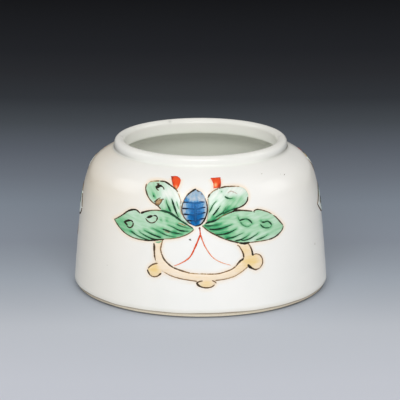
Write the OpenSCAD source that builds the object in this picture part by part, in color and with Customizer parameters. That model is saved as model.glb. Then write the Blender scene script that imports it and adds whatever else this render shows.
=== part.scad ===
// Chinese porcelain water coupe: a squat pot that holds the water on a writing desk.
// A thrown and turned porcelain body, glazed all over but for its foot, carries three
// butterflies in overglaze enamel. Millimetres, +Z up, foot on z = 0, front towards -Y.

/* [Body] */
// Widest diameter, at the glaze edge just above the foot
body_d = 88; // [80:1:100]
// Height from the table to the crest of the lip
total_h = 51.5; // [49:0.5:58]
// Lean of the wall at the foot, in degrees from upright
wall_lean = 4.4; // [2:0.2:7]
// Lean of the shoulder where it meets the lip, in degrees from upright
shoulder_lean = 63; // [58:1:68]
// How far the shoulder holds its lean before it turns down into the wall
shoulder_hold = 0.9; // [0.7:0.05:1]
// Thickness of the wall and shoulder
wall_t = 3.2; // [2.4:0.2:4]
// Thickness of the floor
floor_t = 4; // [3:0.5:6]
// Radius of the curve between the floor and the wall, inside
floor_r = 9; // [5:0.5:12]

/* [Lip] */
// Outside diameter of the lip
lip_d = 59.5; // [54:0.5:64]
// Thickness of the rounded lip
lip_t = 3.3; // [2.8:0.1:4]
// Height of the lip above the top of the shoulder
lip_h = 3.5; // [3:0.1:5]
// Radius of the crease between the shoulder and the lip
crease_r = 1; // [0.6:0.1:1.4]
// Rounding of the edge under the mouth, inside
mouth_edge_r = 1; // [0.6:0.1:1.4]

/* [Foot] */
// Height of the bare band between the table and the glaze
bare_h = 1.8; // [1:0.1:3]
// Distance the foot is turned in below the glaze edge
foot_inset = 0.85; // [0.5:0.05:1.5]
// Width of the flat ring that the pot stands on
foot_w = 5.5; // [3:0.5:8]
// Depth of the recess inside the foot
recess_h = 2.5; // [1.5:0.1:4]
// Slope of the inside of the foot, in degrees from upright
recess_slope = 30; // [10:5:45]

/* [Glaze and enamel] */
// Thickness of the clear glaze
glaze_t = 0.35; // [0.2:0.05:0.5]
// Height that the enamel stands above the glaze
enamel_t = 0.25; // [0.15:0.05:0.4]
// Height that the brush lines stand above the enamel
line_t = 0.1; // [0.06:0.02:0.2]
// Depth of the wing roots below the crest of the lip
motif_drop = 20.5; // [19.5:0.5:23]
// Span of a butterfly from tip to tip of its hindwings
wing_span = 56.2; // [52:0.2:60]
// Width of the contour lines
contour_w = 0.45; // [0.3:0.05:0.6]
// Width of a tendril where it starts
tendril_w = 0.45; // [0.3:0.05:0.6]
// Width of a tendril at its end
tendril_tip = 0.25; // [0.15:0.05:0.3]
// Width of a vein at its heavy end
vein_w = 0.5; // [0.3:0.05:0.7]
// Width of a vein where the brush lifts
vein_tip = 0.15; // [0.1:0.05:0.25]

/* [Hidden] */
$fn = 180;

// Turn of each butterfly round the pot
FRONT = 0;
RIGHT = 360 / 3;
LEFT = 2 * RIGHT;

PASTE = "#d9d3c4";
GLAZE = "#f2f2ee";
GREEN = "#8fcfa6";
BLUE = "#2f6ea6";
RED = "#f4623a";
YELLOW = "#f0dcb0";
INK = "#3a3228";

// Steps along the wall, round a small arc and between two drawn points
WALL_N = 24;
ARC_N = 8;
DRAW_N = 3;

lip_r = lip_t / 2;
foot_out = body_d / 2 - foot_inset;
foot_in = foot_out - foot_w;
recess_r = foot_in - recess_h * tan(recess_slope);
floor_z = recess_h + floor_t;
mouth_r = lip_d / 2 - lip_t;
motif_z = total_h - motif_drop;

// Ends of the wall's curve and the point where their tangents meet
wall_a = [body_d / 2, bare_h];
wall_d = [lip_d / 2 + crease_r * (1 - cos(shoulder_lean)), total_h - lip_h];
wall_up = up_along(wall_lean);
shoulder_up = up_along(shoulder_lean);
rise = cross(wall_d - wall_a, shoulder_up) / cross(wall_up, shoulder_up);
wall_b = wall_a + rise * wall_up;
wall_c = wall_d + shoulder_hold * (wall_b - wall_d);

crease_c = wall_d + crease_r * out_from(shoulder_lean);
lip_c = [lip_d / 2 - lip_r, total_h - lip_r];

// Where the inside of the wall runs into the curve of the floor
fillet_t = find_height(floor_z + floor_r, -wall_t - floor_r, 0, 1, 30);
fillet_c = wall_at(fillet_t, -wall_t - floor_r);

// Edge under the mouth: where the inside of the shoulder would cut the mouth's cylinder
under_d = wall_d - wall_t * out_from(shoulder_lean);
edge_z = under_d.y + (under_d.x - mouth_r) / tan(shoulder_lean);
edge_c = [mouth_r + mouth_edge_r, edge_z + mouth_edge_r * tan(shoulder_lean / 2)];

// Unit vectors up a wall that leans inwards, and straight out from it
function up_along(lean) = [-sin(lean), cos(lean)];
function out_from(lean) = [cos(lean), sin(lean)];

function backwards(v) = [for (i = [len(v) - 1:-1:0]) v[i]];
function arc(c, r, from, to) = [for (i = [0:ARC_N]) c + r * out_from(from + (to - from) * i / ARC_N)];

// The outside of the wall at t = 0 (foot) to 1 (lip), moved outwards by off
function wall_at(t, off) =
    let (s = 1 - t)
    let (p = s * s * s * wall_a + 3 * s * s * t * wall_b + 3 * s * t * t * wall_c + t * t * t * wall_d)
    let (d = s * s * (wall_b - wall_a) + 2 * s * t * (wall_c - wall_b) + t * t * (wall_d - wall_c))
    p + off * [d.y, -d.x] / norm(d);
function wall_run(from, to, off) = [for (i = [0:WALL_N]) wall_at(from + (to - from) * i / WALL_N, off)];
function lean_at(t) =
    let (n = wall_at(t, 1) - wall_at(t, 0))
    atan2(n.y, n.x);

// The t at which the wall moved outwards by off reaches height z
function find_height(z, off, lo, hi, n) =
    let (mid = (lo + hi) / 2)
    n == 0 ? mid :
    wall_at(mid, off).y < z ? find_height(z, off, mid, hi, n - 1) : find_height(z, off, lo, mid, n - 1);

// Section of the outside from the foot up to the crest, moved outwards by off
function outside(off) = concat(
    wall_run(0, 1, off),
    arc(crease_c, off - crease_r, shoulder_lean, 0),
    arc(lip_c, lip_r + off, 0, 90)
);

// Section of the inside from the crest down to the axis, sunk into the wall by sink
function inside(sink) = concat(
    arc(lip_c, lip_r - sink, 90, 180),
    arc(edge_c, sink - mouth_edge_r, 0, shoulder_lean),
    wall_run(1, fillet_t, sink - wall_t),
    arc(fillet_c, floor_r + sink, lean_at(fillet_t), -90),
    [[0, floor_z - sink]]
);

// Smooth line through drawn points, from one of them to another; a point given twice is a corner
function drawn(v, i) = motif_k * v[(i + len(v)) % len(v)];
function between(p, q, r, s) = [
    for (i = [0:DRAW_N - 1])
        let (t = i / DRAW_N)
        q + t / 2 * ((r - p) + t * ((2 * p - 5 * q + 4 * r - s) + t * (3 * (q - r) + s - p)))
];
function smooth(v, from, to) = concat(
    [
        for (i = [from:to - 1])
            if (drawn(v, i) != drawn(v, i + 1))
                each between(drawn(v, i - 1), drawn(v, i), drawn(v, i + 1), drawn(v, i + 2))
    ],
    [drawn(v, to)]
);
function closed_line(v) =
    let (p = smooth(v, 0, len(v)))
    [for (i = [0:len(p) - 2]) p[i]];
function open_line(v) =
    let (last = len(v) - 1)
    let (p = concat([v[0]], v, [v[last]]))
    smooth(p, 1, last + 1);

// Width from the left end of one line to the right end of another
function reach(from, to) = max([for (p = to) p.x]) - min([for (p = from) p.x]);

// Unit vector to the right of the way along a line of points, at one of them
function right_of(p, i) =
    let (d = p[min(i + 1, len(p) - 1)] - p[max(i - 1, 0)])
    [d.y, -d.x] / norm(d);

// Drawing of one butterfly: x across, y up from the wing roots; its scale follows the wing span
left_forewing_line = [
    [-16.9, 12.7], [-14.7, 13.4], [-12.3, 13.4], [-10.4, 12.8], [-8.6, 11.7], [-7.4, 10.2],
    [-6.5, 8.2], [-5, 6], [-4, 3], [-3.6, 0.6], [-3.6, 0.6], [-8, 2], [-12.2, 4], [-13.1, 5],
    [-14.6, 6.2], [-16.3, 7.2], [-17.5, 8.9], [-18.1, 10.9]
];
right_forewing_line = [
    [2.3, 9], [2.3, 9], [3.2, 10.2], [4.8, 11.4], [7, 12], [9.6, 12.2], [12.2, 12], [14.3, 11.2],
    [15.5, 9.6], [15.6, 8], [14.9, 6.6], [13.3, 5.6], [11.6, 5.2], [10.6, 4.2], [6, 2],
    [1.9, 0.6], [1.9, 0.6], [2.3, 3], [2.6, 6]
];
left_hindwing_line = [
    [-28.8, -0.8], [-28.8, -0.8], [-26.2, 1.2], [-24.3, 2.7], [-22.6, 3.6], [-21.2, 3.6],
    [-20, 2.8], [-20, 2.8], [-18, 3.7], [-15.8, 4.3], [-13.5, 4.5], [-11, 4.2], [-8.6, 3.1],
    [-6, 1.4], [-3.6, 0], [-2.2, -1.1], [-2.2, -1.1], [-4.4, -2.7], [-7, -3.8], [-10, -4.5],
    [-13.5, -5], [-17, -5.7], [-20, -5.8], [-22.8, -5.5], [-25.4, -4.5], [-27.4, -2.7]
];
right_hindwing_line = [
    [0.4, 0.2], [0.4, 0.2], [1.8, 0.9], [3.6, 1.3], [5.2, 2], [7, 3.1], [9, 3.9], [11, 4.5],
    [13, 4.6], [15, 4.3], [17.2, 3.8], [17.2, 3.8], [18.8, 4.2], [20.6, 3.7], [22.4, 2.8],
    [24.2, 1.5], [25.8, -0.3], [27.4, -2.4], [27.2, -3.7], [26, -5], [24.2, -5.9], [21.6, -6.3],
    [18.5, -6.3], [15, -6.4], [12.2, -6], [9.6, -5], [6.5, -3.7], [3.4, -2]
];
abdomen_line = [
    [-1.7, 11.6], [-1.7, 11.6], [0.4, 10.6], [1.9, 8], [2.1, 4.6], [0.8, 1.3], [-1.8, 0],
    [-4.3, 1.5], [-6, 4], [-6, 7.2], [-4.3, 10.2]
];
left_club_line = [
    [-9.8, 14.8], [-9.8, 14.8], [-7.8, 14.9], [-6.6, 14.1], [-7, 12.6], [-7.8, 11.4],
    [-7.8, 11.4], [-9, 12.2], [-9.5, 13.5]
];
right_club_line = [
    [3.3, 14.4], [3.3, 14.4], [6.5, 14.5], [6.5, 14.5], [6.7, 13], [6.2, 12.2], [4.2, 12],
    [4.2, 12], [4.1, 13.2]
];
garland_outer = [
    [15.2, -5], [15.8, -6.6], [16.8, -8.6], [17.2, -10.6], [16.9, -12.4], [15.3, -14.4],
    [12, -16.7], [8.5, -17.7], [4.8, -18.1], [-1, -18.2], [-5.5, -17.7], [-9, -17],
    [-11.8, -16], [-13.6, -14.8], [-14.9, -12.4], [-15.3, -9.5], [-15.4, -6.2], [-15.4, -4.2]
];
garland_inner = [
    [-12.4, -3.8], [-12.6, -5.6], [-13.1, -7.6], [-13, -9.4], [-11.8, -11.7], [-9.8, -13.5],
    [-7, -14.7], [-3.5, -15.6], [1, -15.9], [5, -15.9], [8.5, -15.2], [11, -14], [13, -12.2],
    [14.1, -10.9], [13.8, -9.2], [12.9, -7.5], [12.2, -6.6], [11.8, -4.8]
];
left_knob_line = [
    [-13, -16], [-14.2, -17.3], [-15.8, -17.6], [-17.1, -16.8], [-17.5, -15.4], [-16.8, -14.1],
    [-15.3, -13.2], [-13.4, -13.6]
];
right_knob_line = [
    [17, -10.8], [18.8, -10.4], [20.1, -11.6], [20.6, -13.4], [20, -15], [18.3, -15.6],
    [16.8, -14.9], [15.9, -13.5]
];
low_knob_line = [
    [-0.8, -17.6], [4.3, -17.6], [4.9, -19.2], [3.6, -20.2], [1.8, -20.5], [0, -20.1], [-1.2, -19]
];
tendril_dot = [-0.3, -0.8];
tendril_top = [-0.1, -2.8];
tendril_fork = [-0.1, -3.3];
left_tendril = [tendril_top, [-1, -5], [-2, -7.3], [-3, -9.3], [-4.1, -10.7], [-5.6, -11.8], [-8.3, -13.1]];
right_tendril = [tendril_top, [0.7, -5], [1.6, -7], [3, -9.2], [4.6, -10.8], [6.6, -12], [9.8, -13.2]];

motif_k = wing_span / reach(left_hindwing_line, right_hindwing_line);

// Veins run out from the wing roots, eyespots are open rings, stripes cross the abdomen
left_forewing_strokes = [
    [[-10, 4.4], [-10.5, 5.8], [-11.4, 8.3]],
    [[-7.4, 3], [-8.2, 5], [-8.9, 6.9], [-9.4, 8.4]],
    [[-14.7, 11.5], [-13.7, 12], [-12.6, 11.8], [-12, 11], [-13, 10.6]]
];
right_forewing_strokes = [
    [[3.4, 4.6], [3.7, 5.8], [4.4, 7.1], [5.2, 8]],
    [[4, 3.4], [4.7, 4.4], [5.4, 5.2], [6.2, 6.2]],
    [[4.8, 2.8], [6, 3.5], [7, 4.1]],
    [[7.6, 4.2], [9, 4.8], [10.6, 5.3]],
    [[8, 9.2], [9, 8.6], [10.6, 8.7], [11.5, 9.8], [10.2, 10.6]]
];
left_hindwing_strokes = [
    [[-17, -4.9], [-18.6, -4.8], [-21, -4.3], [-22.8, -3.5]],
    [[-14, -4.2], [-16.2, -4.1], [-18.4, -3.6], [-20.3, -2.9]],
    [[-12.6, -3.8], [-15, -3.3], [-17, -2.8], [-18.6, -2.3]],
    [[-11, -3], [-12.6, -2.5], [-14.4, -1.9], [-16, -1.3]],
    [[-5.6, -2.4], [-8, -2.4], [-10.5, -1.8], [-12.3, -1.3]],
    [[-4.4, -1.6], [-6.4, -1.4], [-8.4, -0.8], [-10.5, 0]],
    [[-25.3, -0.8], [-23.9, -0.2], [-22.7, -0.2], [-22.2, -1], [-22.8, -2.2], [-23.8, -2.4], [-24.7, -1.8]],
    [[-18.1, 1.8], [-16.4, 2.5], [-14.8, 2.5], [-14.2, 2], [-14.6, 0.9], [-16.2, 0.2], [-17.4, 0.7]]
];
right_hindwing_strokes = [
    [[3, -0.8], [5, -0.9], [7.6, -0.6], [10.2, 0.2]],
    [[6, -2.4], [7.6, -2.4], [9.8, -2.1], [11.8, -1.4]],
    [[9, -3.7], [10.4, -3.6], [12, -3.3], [14, -2.6]],
    [[11.6, -4.8], [13, -4.6], [14.6, -4.1], [16, -3.5]],
    [[14, -5.4], [15.4, -5.2], [17, -4.6], [19, -3.4]],
    [[18.3, -5.4], [20.2, -5], [22, -4.4]],
    [[12.8, 1.2], [14.2, 1.6], [15.6, 1.4], [16.8, 0], [16.2, -0.7], [15, -0.8], [13.6, 0]],
    [[19.8, -0.4], [20.8, -0.1], [22.2, -0.2], [23.4, -1.4], [22.6, -2.2], [21.2, -2.1], [20.4, -1.5]]
];
stripes = [
    [[-5, 7.7], [-3.5, 7.6], [-1.6, 7.7], [0.4, 7.8]],
    [[-5.3, 5.7], [-3.5, 5.6], [-1.4, 5.8], [0.8, 6]],
    [[-4.9, 3.8], [-3.5, 3.7], [-1.4, 4], [0.6, 4.3]],
    [[-3.4, 2.1], [-2.4, 2], [-1.2, 2.2], [0, 2.4]]
];

// One brush stroke that goes evenly from width w to width w_end
module brush(v, w, w_end) {
    p = open_line(v);
    last = len(p) - 1;
    side = [for (i = [0:last]) (w + (w_end - w) * i / last) / 2 * right_of(p, i)];
    polygon(concat(p + side, backwards(p - side)));
}

module brush_all(lines) {
    for (v = lines)
        brush(v, vein_w, vein_tip);
}

module shape(v) {
    polygon(closed_line(v));
}

// Contour along part of a shape's edge, on its inner side and pointed at both ends
module contour(v, from, to) {
    p = smooth(v, from, to);
    polygon(concat(p, [for (i = [len(p) - 2:-1:1]) p[i] + contour_w * right_of(p, i)]));
}

// Fields of colour; a wing in front or the abdomen hides what lies behind it
module left_forewing_shape() {
    difference() {
        shape(left_forewing_line);
        shape(left_hindwing_line);
        shape(abdomen_line);
    }
}

module right_forewing_shape() {
    difference() {
        shape(right_forewing_line);
        shape(right_hindwing_line);
        shape(abdomen_line);
    }
}

module left_hindwing_shape() {
    difference() {
        shape(left_hindwing_line);
        shape(abdomen_line);
    }
}

module right_hindwing_shape() {
    difference() {
        shape(right_hindwing_line);
        shape(abdomen_line);
    }
}

module antennae_shape() {
    difference() {
        union() {
            shape(left_club_line);
            shape(right_club_line);
        }
        shape(left_forewing_line);
        shape(right_forewing_line);
    }
}

module garland_band() {
    polygon(concat(open_line(garland_outer), open_line(garland_inner)));
}

module garland_shape() {
    difference() {
        union() {
            garland_band();
            shape(left_knob_line);
            shape(right_knob_line);
            shape(low_knob_line);
        }
        shape(left_hindwing_line);
        shape(right_hindwing_line);
    }
}

module tendrils_shape() {
    translate(motif_k * tendril_dot)
        circle(tendril_w);
    brush([tendril_dot, tendril_fork], tendril_w, tendril_w);
    brush(left_tendril, tendril_w, tendril_tip);
    brush(right_tendril, tendril_w, tendril_tip);
}

// Brush lines on the wings, the abdomen and the garland
module forewing_lines() {
    contour(left_forewing_line, 0, 6);
    contour(left_forewing_line, 13, 17);
    brush_all(left_forewing_strokes);
    contour(right_forewing_line, 1, 6);
    contour(right_forewing_line, 8, 12);
    contour(right_forewing_line, 17, 19);
    brush_all(right_forewing_strokes);
}

module hindwing_lines() {
    contour(left_hindwing_line, 1, 6);
    contour(left_hindwing_line, 7, 13);
    contour(left_hindwing_line, 17, 26);
    brush_all(left_hindwing_strokes);
    contour(right_hindwing_line, 2, 10);
    contour(right_hindwing_line, 11, 27);
    brush_all(right_hindwing_strokes);
}

module abdomen_lines() {
    contour(abdomen_line, 1, 6);
    contour(abdomen_line, 6, 11);
    brush_all(stripes);
}

module garland_lines() {
    contour(garland_outer, 1, 3);
    contour(garland_outer, 5, 8);
    contour(garland_outer, 9, 12);
    contour(garland_outer, 14, 16);
    contour(garland_inner, 1, 15);
    contour(left_knob_line, 0, 6);
    contour(right_knob_line, 0, 6);
    contour(low_knob_line, 2, 6);
}

// Layer of the pot's own shape between two heights above the glaze
module layer(low, high) {
    rotate_extrude()
        polygon(concat(wall_run(0, 1, low), backwards(wall_run(0, 1, high))));
}

// Wrap a drawing on the pot as a layer, at a turn round it
module wrapped(turn, low, high) {
    rotate([0, 0, turn])
        intersection() {
            layer(low, high);
            rotate([90, 0, 0])
                linear_extrude(height = body_d / 2 + high)
                    translate([0, motif_z])
                        children();
        }
}

// Thrown and turned body, bare at the foot
module porcelain_body() {
    color(PASTE)
        rotate_extrude()
            polygon(concat(
                [[foot_in, 0], [foot_out, 0]],
                outside(-glaze_t),
                inside(glaze_t),
                [[0, recess_h], [recess_r, recess_h]]
            ));
}

// Clear glaze outside, from the bare band to the crest of the lip
module outer_glaze() {
    color(GLAZE)
        rotate_extrude()
            polygon(concat(outside(0), backwards(outside(-glaze_t))));
}

// Clear glaze inside, from the crest of the lip to the middle of the floor
module inner_glaze() {
    color(GLAZE)
        rotate_extrude()
            polygon(concat(inside(0), backwards(inside(glaze_t))));
}

// Clear glaze in the recess of the foot
module base_glaze() {
    color(GLAZE)
        translate([0, 0, recess_h - glaze_t])
            cylinder(h = glaze_t, r = recess_r);
}

// Enamel wings, in front of and behind each other as drawn
module left_forewing(turn) {
    color(GREEN)
        wrapped(turn, 0, enamel_t)
            left_forewing_shape();
}

module right_forewing(turn) {
    color(GREEN)
        wrapped(turn, 0, enamel_t)
            right_forewing_shape();
}

module left_hindwing(turn) {
    color(GREEN)
        wrapped(turn, 0, enamel_t)
            left_hindwing_shape();
}

module right_hindwing(turn) {
    color(GREEN)
        wrapped(turn, 0, enamel_t)
            right_hindwing_shape();
}

// Blue striped abdomen between the wings
module abdomen(turn) {
    color(BLUE)
        wrapped(turn, 0, enamel_t)
            shape(abdomen_line);
}

// Two red clubs of the antennae
module antennae(turn) {
    color(RED)
        wrapped(turn, 0, enamel_t)
            antennae_shape();
}

// Yellow band with three knobs that hangs from the hindwings
module garland(turn) {
    color(YELLOW)
        wrapped(turn, 0, enamel_t)
            garland_shape();
}

// Two fine red lines that hang from a dot under the abdomen
module tendrils(turn) {
    color(RED)
        wrapped(turn, 0, enamel_t)
            tendrils_shape();
}

// Dark brush lines laid over the colours
module lines(turn) {
    color(INK)
        wrapped(turn, enamel_t, enamel_t + line_t) {
            forewing_lines();
            hindwing_lines();
            abdomen_lines();
            garland_lines();
        }
}

porcelain_body();
outer_glaze();
inner_glaze();
base_glaze();
left_forewing(FRONT);  // front_left_forewing
right_forewing(FRONT);  // front_right_forewing
left_hindwing(FRONT);  // front_left_hindwing
right_hindwing(FRONT);  // front_right_hindwing
abdomen(FRONT);  // front_abdomen
antennae(FRONT);  // front_antennae
garland(FRONT);  // front_garland
tendrils(FRONT);  // front_tendrils
lines(FRONT);  // front_lines
left_forewing(RIGHT);  // right_left_forewing
right_forewing(RIGHT);  // right_right_forewing
left_hindwing(RIGHT);  // right_left_hindwing
right_hindwing(RIGHT);  // right_right_hindwing
abdomen(RIGHT);  // right_abdomen
antennae(RIGHT);  // right_antennae
garland(RIGHT);  // right_garland
tendrils(RIGHT);  // right_tendrils
lines(RIGHT);  // right_lines
left_forewing(LEFT);  // left_left_forewing
right_forewing(LEFT);  // left_right_forewing
left_hindwing(LEFT);  // left_left_hindwing
right_hindwing(LEFT);  // left_right_hindwing
abdomen(LEFT);  // left_abdomen
antennae(LEFT);  // left_antennae
garland(LEFT);  // left_garland
tendrils(LEFT);  // left_tendrils
lines(LEFT);  // left_lines
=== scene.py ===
"""Porcelain water coupe: a thrown and glazed pot with three overglaze butterflies.

Sizes and drawings are in millimetres. They turn into the frame's metres where a mesh is made.
"""
import logging
import math
from dataclasses import dataclass
from enum import Enum
from typing import Sequence

import bmesh
import bpy
import numpy as np
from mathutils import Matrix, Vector
from mathutils.geometry import delaunay_2d_cdt
from mathutils.kdtree import KDTree


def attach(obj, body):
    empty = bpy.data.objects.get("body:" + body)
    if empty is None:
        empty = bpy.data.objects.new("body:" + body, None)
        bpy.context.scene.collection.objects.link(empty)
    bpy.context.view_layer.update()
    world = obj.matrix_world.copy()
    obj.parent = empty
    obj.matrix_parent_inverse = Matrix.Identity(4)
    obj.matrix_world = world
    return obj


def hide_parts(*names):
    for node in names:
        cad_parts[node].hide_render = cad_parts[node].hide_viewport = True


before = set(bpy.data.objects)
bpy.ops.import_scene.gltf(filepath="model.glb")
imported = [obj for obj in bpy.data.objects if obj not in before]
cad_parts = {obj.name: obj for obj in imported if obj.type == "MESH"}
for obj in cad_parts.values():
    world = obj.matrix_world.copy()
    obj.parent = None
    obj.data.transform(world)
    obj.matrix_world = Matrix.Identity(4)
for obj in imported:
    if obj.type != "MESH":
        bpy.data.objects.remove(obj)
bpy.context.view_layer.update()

LOG = logging.getLogger("water_coupe")
MM = 0.001
BODY = "root"
# A point of a section that is nearer to the axis than this lies on it.
ON_AXIS = 1e-6

Pair = tuple[float, float]
Point = tuple[float, float]
Place = tuple[float, float, float]
Dab = tuple[float, float, float, float]
Waves = tuple[tuple[float, float, float], ...]
Stops = tuple[tuple[float, str], ...]
Material = bpy.types.Material
Piece = bpy.types.Object
Socket = bpy.types.NodeSocket
Tree = bpy.types.NodeTree


class Slot(Enum):
    """Material slots."""

    PORCELAIN = "porcelain"
    GLAZE = "clear_glaze"
    GREEN = "green_enamel"
    BLUE = "blue_enamel"
    RED = "red_enamel"
    YELLOW = "yellow_enamel"
    LINES = "line_pigment"


class Pigment(Enum):
    """Which brush load a stroke is painted with; the value is its material index."""

    OUTLINE = 0
    VEIN = 1
    STRIPE = 2


def unit(numbers: np.ndarray) -> np.ndarray:
    """Hold numbers between 0 and 1."""
    return np.clip(numbers, 0, 1)


def bell(away: np.ndarray, width: float | np.ndarray) -> np.ndarray:
    """Fall off smoothly from 1 at no distance to about a third at one width."""
    return np.exp(-(away / width) ** 2)


def linear(colour: str) -> tuple[float, float, float, float]:
    """Turn an sRGB hex colour into linear RGBA.

    Args:
        colour: six hex digits.

    Returns:
        Linear red, green and blue, and an alpha of 1.
    """
    parts = [int(colour[i:i + 2], 16) / 255 for i in (0, 2, 4)]
    red, green, blue = [c / 12.92 if c <= 0.04045 else ((c + 0.055) / 1.055) ** 2.4 for c in parts]
    return red, green, blue, 1.0


def add(tree: Tree, kind: str, settings: dict | None = None, inputs: dict | None = None) -> bpy.types.Node:
    """Add one node with its settings, values and links.

    Args:
        tree: the material's or world's node tree.
        kind: the node's type name.
        settings: the node's own attributes.
        inputs: socket name or number to a value, or to an output socket that is linked to it.

    Returns:
        The new node.
    """
    node = tree.nodes.new(kind)
    for key, value in (settings or {}).items():
        setattr(node, key, value)
    for key, value in (inputs or {}).items():
        if isinstance(value, Socket):
            tree.links.new(value, node.inputs[key])
        else:
            node.inputs[key].default_value = value
    return node


def object_place(tree: Tree) -> Socket:
    """Place on the object, in metres."""
    return add(tree, "ShaderNodeTexCoord").outputs["Object"]


def point_value(tree: Tree, name: str) -> Socket:
    """A number that the mesh holds at each point."""
    return add(tree, "ShaderNodeAttribute", {"attribute_name": name}).outputs["Fac"]


def stretched(tree: Tree, place: Socket, scale: Place) -> Socket:
    """Scale a place along its axes, so that a grain read there is stretched."""
    return add(tree, "ShaderNodeMapping", inputs={"Vector": place, "Scale": scale}).outputs["Vector"]


def noise(tree: Tree, place: Socket, grain: float, detail: float) -> Socket:
    """Noise with a grain of this size, in the units of the place."""
    inputs = {"Vector": place, "Scale": 1 / grain, "Detail": detail}
    return add(tree, "ShaderNodeTexNoise", inputs=inputs).outputs["Fac"]


def combine(tree: Tree, operation: str, *numbers: Socket | float) -> Socket:
    """Combine numbers by one operation of the maths node."""
    return add(tree, "ShaderNodeMath", {"operation": operation}, dict(enumerate(numbers))).outputs["Value"]


def remap(tree: Tree, number: Socket, source: Pair, target: Pair = (0.0, 1.0)) -> Socket:
    """Carry a number from one range to another and hold it there."""
    inputs = {"Value": number, "From Min": source[0], "From Max": source[1], "To Min": target[0],
              "To Max": target[1]}
    return add(tree, "ShaderNodeMapRange", inputs=inputs).outputs["Result"]


def ramp(tree: Tree, amount: Socket, stops: Stops) -> Socket:
    """Colour an amount.

    Args:
        tree: the material's node tree.
        amount: the number that picks the colour.
        stops: position and hex colour of each stop.

    Returns:
        The colour.
    """
    node = add(tree, "ShaderNodeValToRGB", inputs={"Fac": amount})
    elements = node.color_ramp.elements
    while len(elements) < len(stops):
        elements.new(1.0)
    for element, (place, colour) in zip(elements, stops):
        element.position = place
        element.color = linear(colour)
    return node.outputs["Color"]


def mix(tree: Tree, amount: Socket, under: Socket, over: str) -> Socket:
    """Lay a hex colour over a colour by an amount; the mix node's colour sockets go by number."""
    inputs = {"Factor": amount, 6: under, 7: linear(over)}
    return add(tree, "ShaderNodeMix", {"data_type": "RGBA"}, inputs).outputs[2]


def tint(tree: Tree, colour: Socket, tints: dict[str, str]) -> Socket:
    """Lay hex colours over a colour in turn.

    Args:
        tree: the material's node tree.
        colour: the colour underneath.
        tints: name of the point value that gives the amount to the hex colour that is laid on.

    Returns:
        The tinted colour.
    """
    for name, over in tints.items():
        colour = mix(tree, point_value(tree, name), colour, over)
    return colour


def bump(tree: Tree, height: Socket, strength: float, depth_mm: float) -> Socket:
    """Turn a height into an uneven surface's normal."""
    inputs = {"Strength": strength, "Distance": depth_mm * MM, "Height": height}
    return add(tree, "ShaderNodeBump", inputs=inputs).outputs["Normal"]


def surface(tree: Tree, **inputs: object) -> None:
    """End a material in a Principled shader with these inputs.

    Args:
        tree: the material's node tree.
        inputs: socket names, with underscores for spaces, to values or output sockets.
    """
    named = {key.replace("_", " "): value for key, value in inputs.items()}
    shader = add(tree, "ShaderNodeBsdfPrincipled", inputs=named)
    add(tree, "ShaderNodeOutputMaterial", inputs={"Surface": shader.outputs["BSDF"]})


@dataclass(frozen=True)
class Finish:
    """A finish by its name; each kind lays out its own nodes."""

    name: str

    def lay_out(self, tree: Tree) -> None:
        """Lay out the nodes of the finish in an empty tree."""
        raise NotImplementedError

    def material(self) -> Material:
        """Make the material.

        Returns:
            The material, ready to use.
        """
        material = bpy.data.materials.new(self.name)
        material.use_nodes = True
        material.node_tree.nodes.clear()
        self.lay_out(material.node_tree)
        return material


@dataclass(frozen=True)
class BarePaste(Finish):
    """Unglazed porcelain, turned on the wheel and fired: a dry, sandy, cream-grey band.

    The eye sees fine grit, faint turning rings, a brown flush where the glaze stops and a dark
    line along the edge that it stands on: grime and painted contact shadow. Both reach further at
    the pot's sides as painted shade.
    """

    name: str = "unglazed_porcelain_turned"
    pale: str = "EEE4CE"
    dark: str = "DDD0B4"
    # The flush colour is also painted shade at the pot's sides; the grime colour is also painted contact
    # shadow along the standing edge.
    flush: str = "86705A"
    grime: str = "37342F"
    colour_span: Pair = (0.45, 0.85)
    grit_mm: float = 0.35
    grit_detail: float = 4.0
    ring_mm: float = 0.6
    ring_detail: float = 2.0
    ring_stretch: Place = (0.05, 0.05, 1.0)
    ring_share: float = 0.6
    bump_by: float = 0.5
    bump_mm: float = 0.05
    roughness: float = 0.72
    ior: float = 1.5

    def lay_out(self, tree: Tree) -> None:
        """Lay out the nodes; they read the point values "flush" and "grime".

        Args:
            tree: the material's empty node tree.
        """
        place = object_place(tree)
        grit = noise(tree, place, self.grit_mm * MM, self.grit_detail)
        rings_at = stretched(tree, place, self.ring_stretch)
        rings = noise(tree, rings_at, self.ring_mm * MM, self.ring_detail)
        grain = combine(tree, "MULTIPLY_ADD", rings, self.ring_share, grit)
        colour = ramp(tree, grain, tuple(zip(self.colour_span, (self.dark, self.pale))))
        colour = tint(tree, colour, {"flush": self.flush, "grime": self.grime})
        surface(tree, Base_Color=colour, Roughness=self.roughness, IOR=self.ior,
                Normal=bump(tree, grain, self.bump_by, self.bump_mm))


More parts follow.
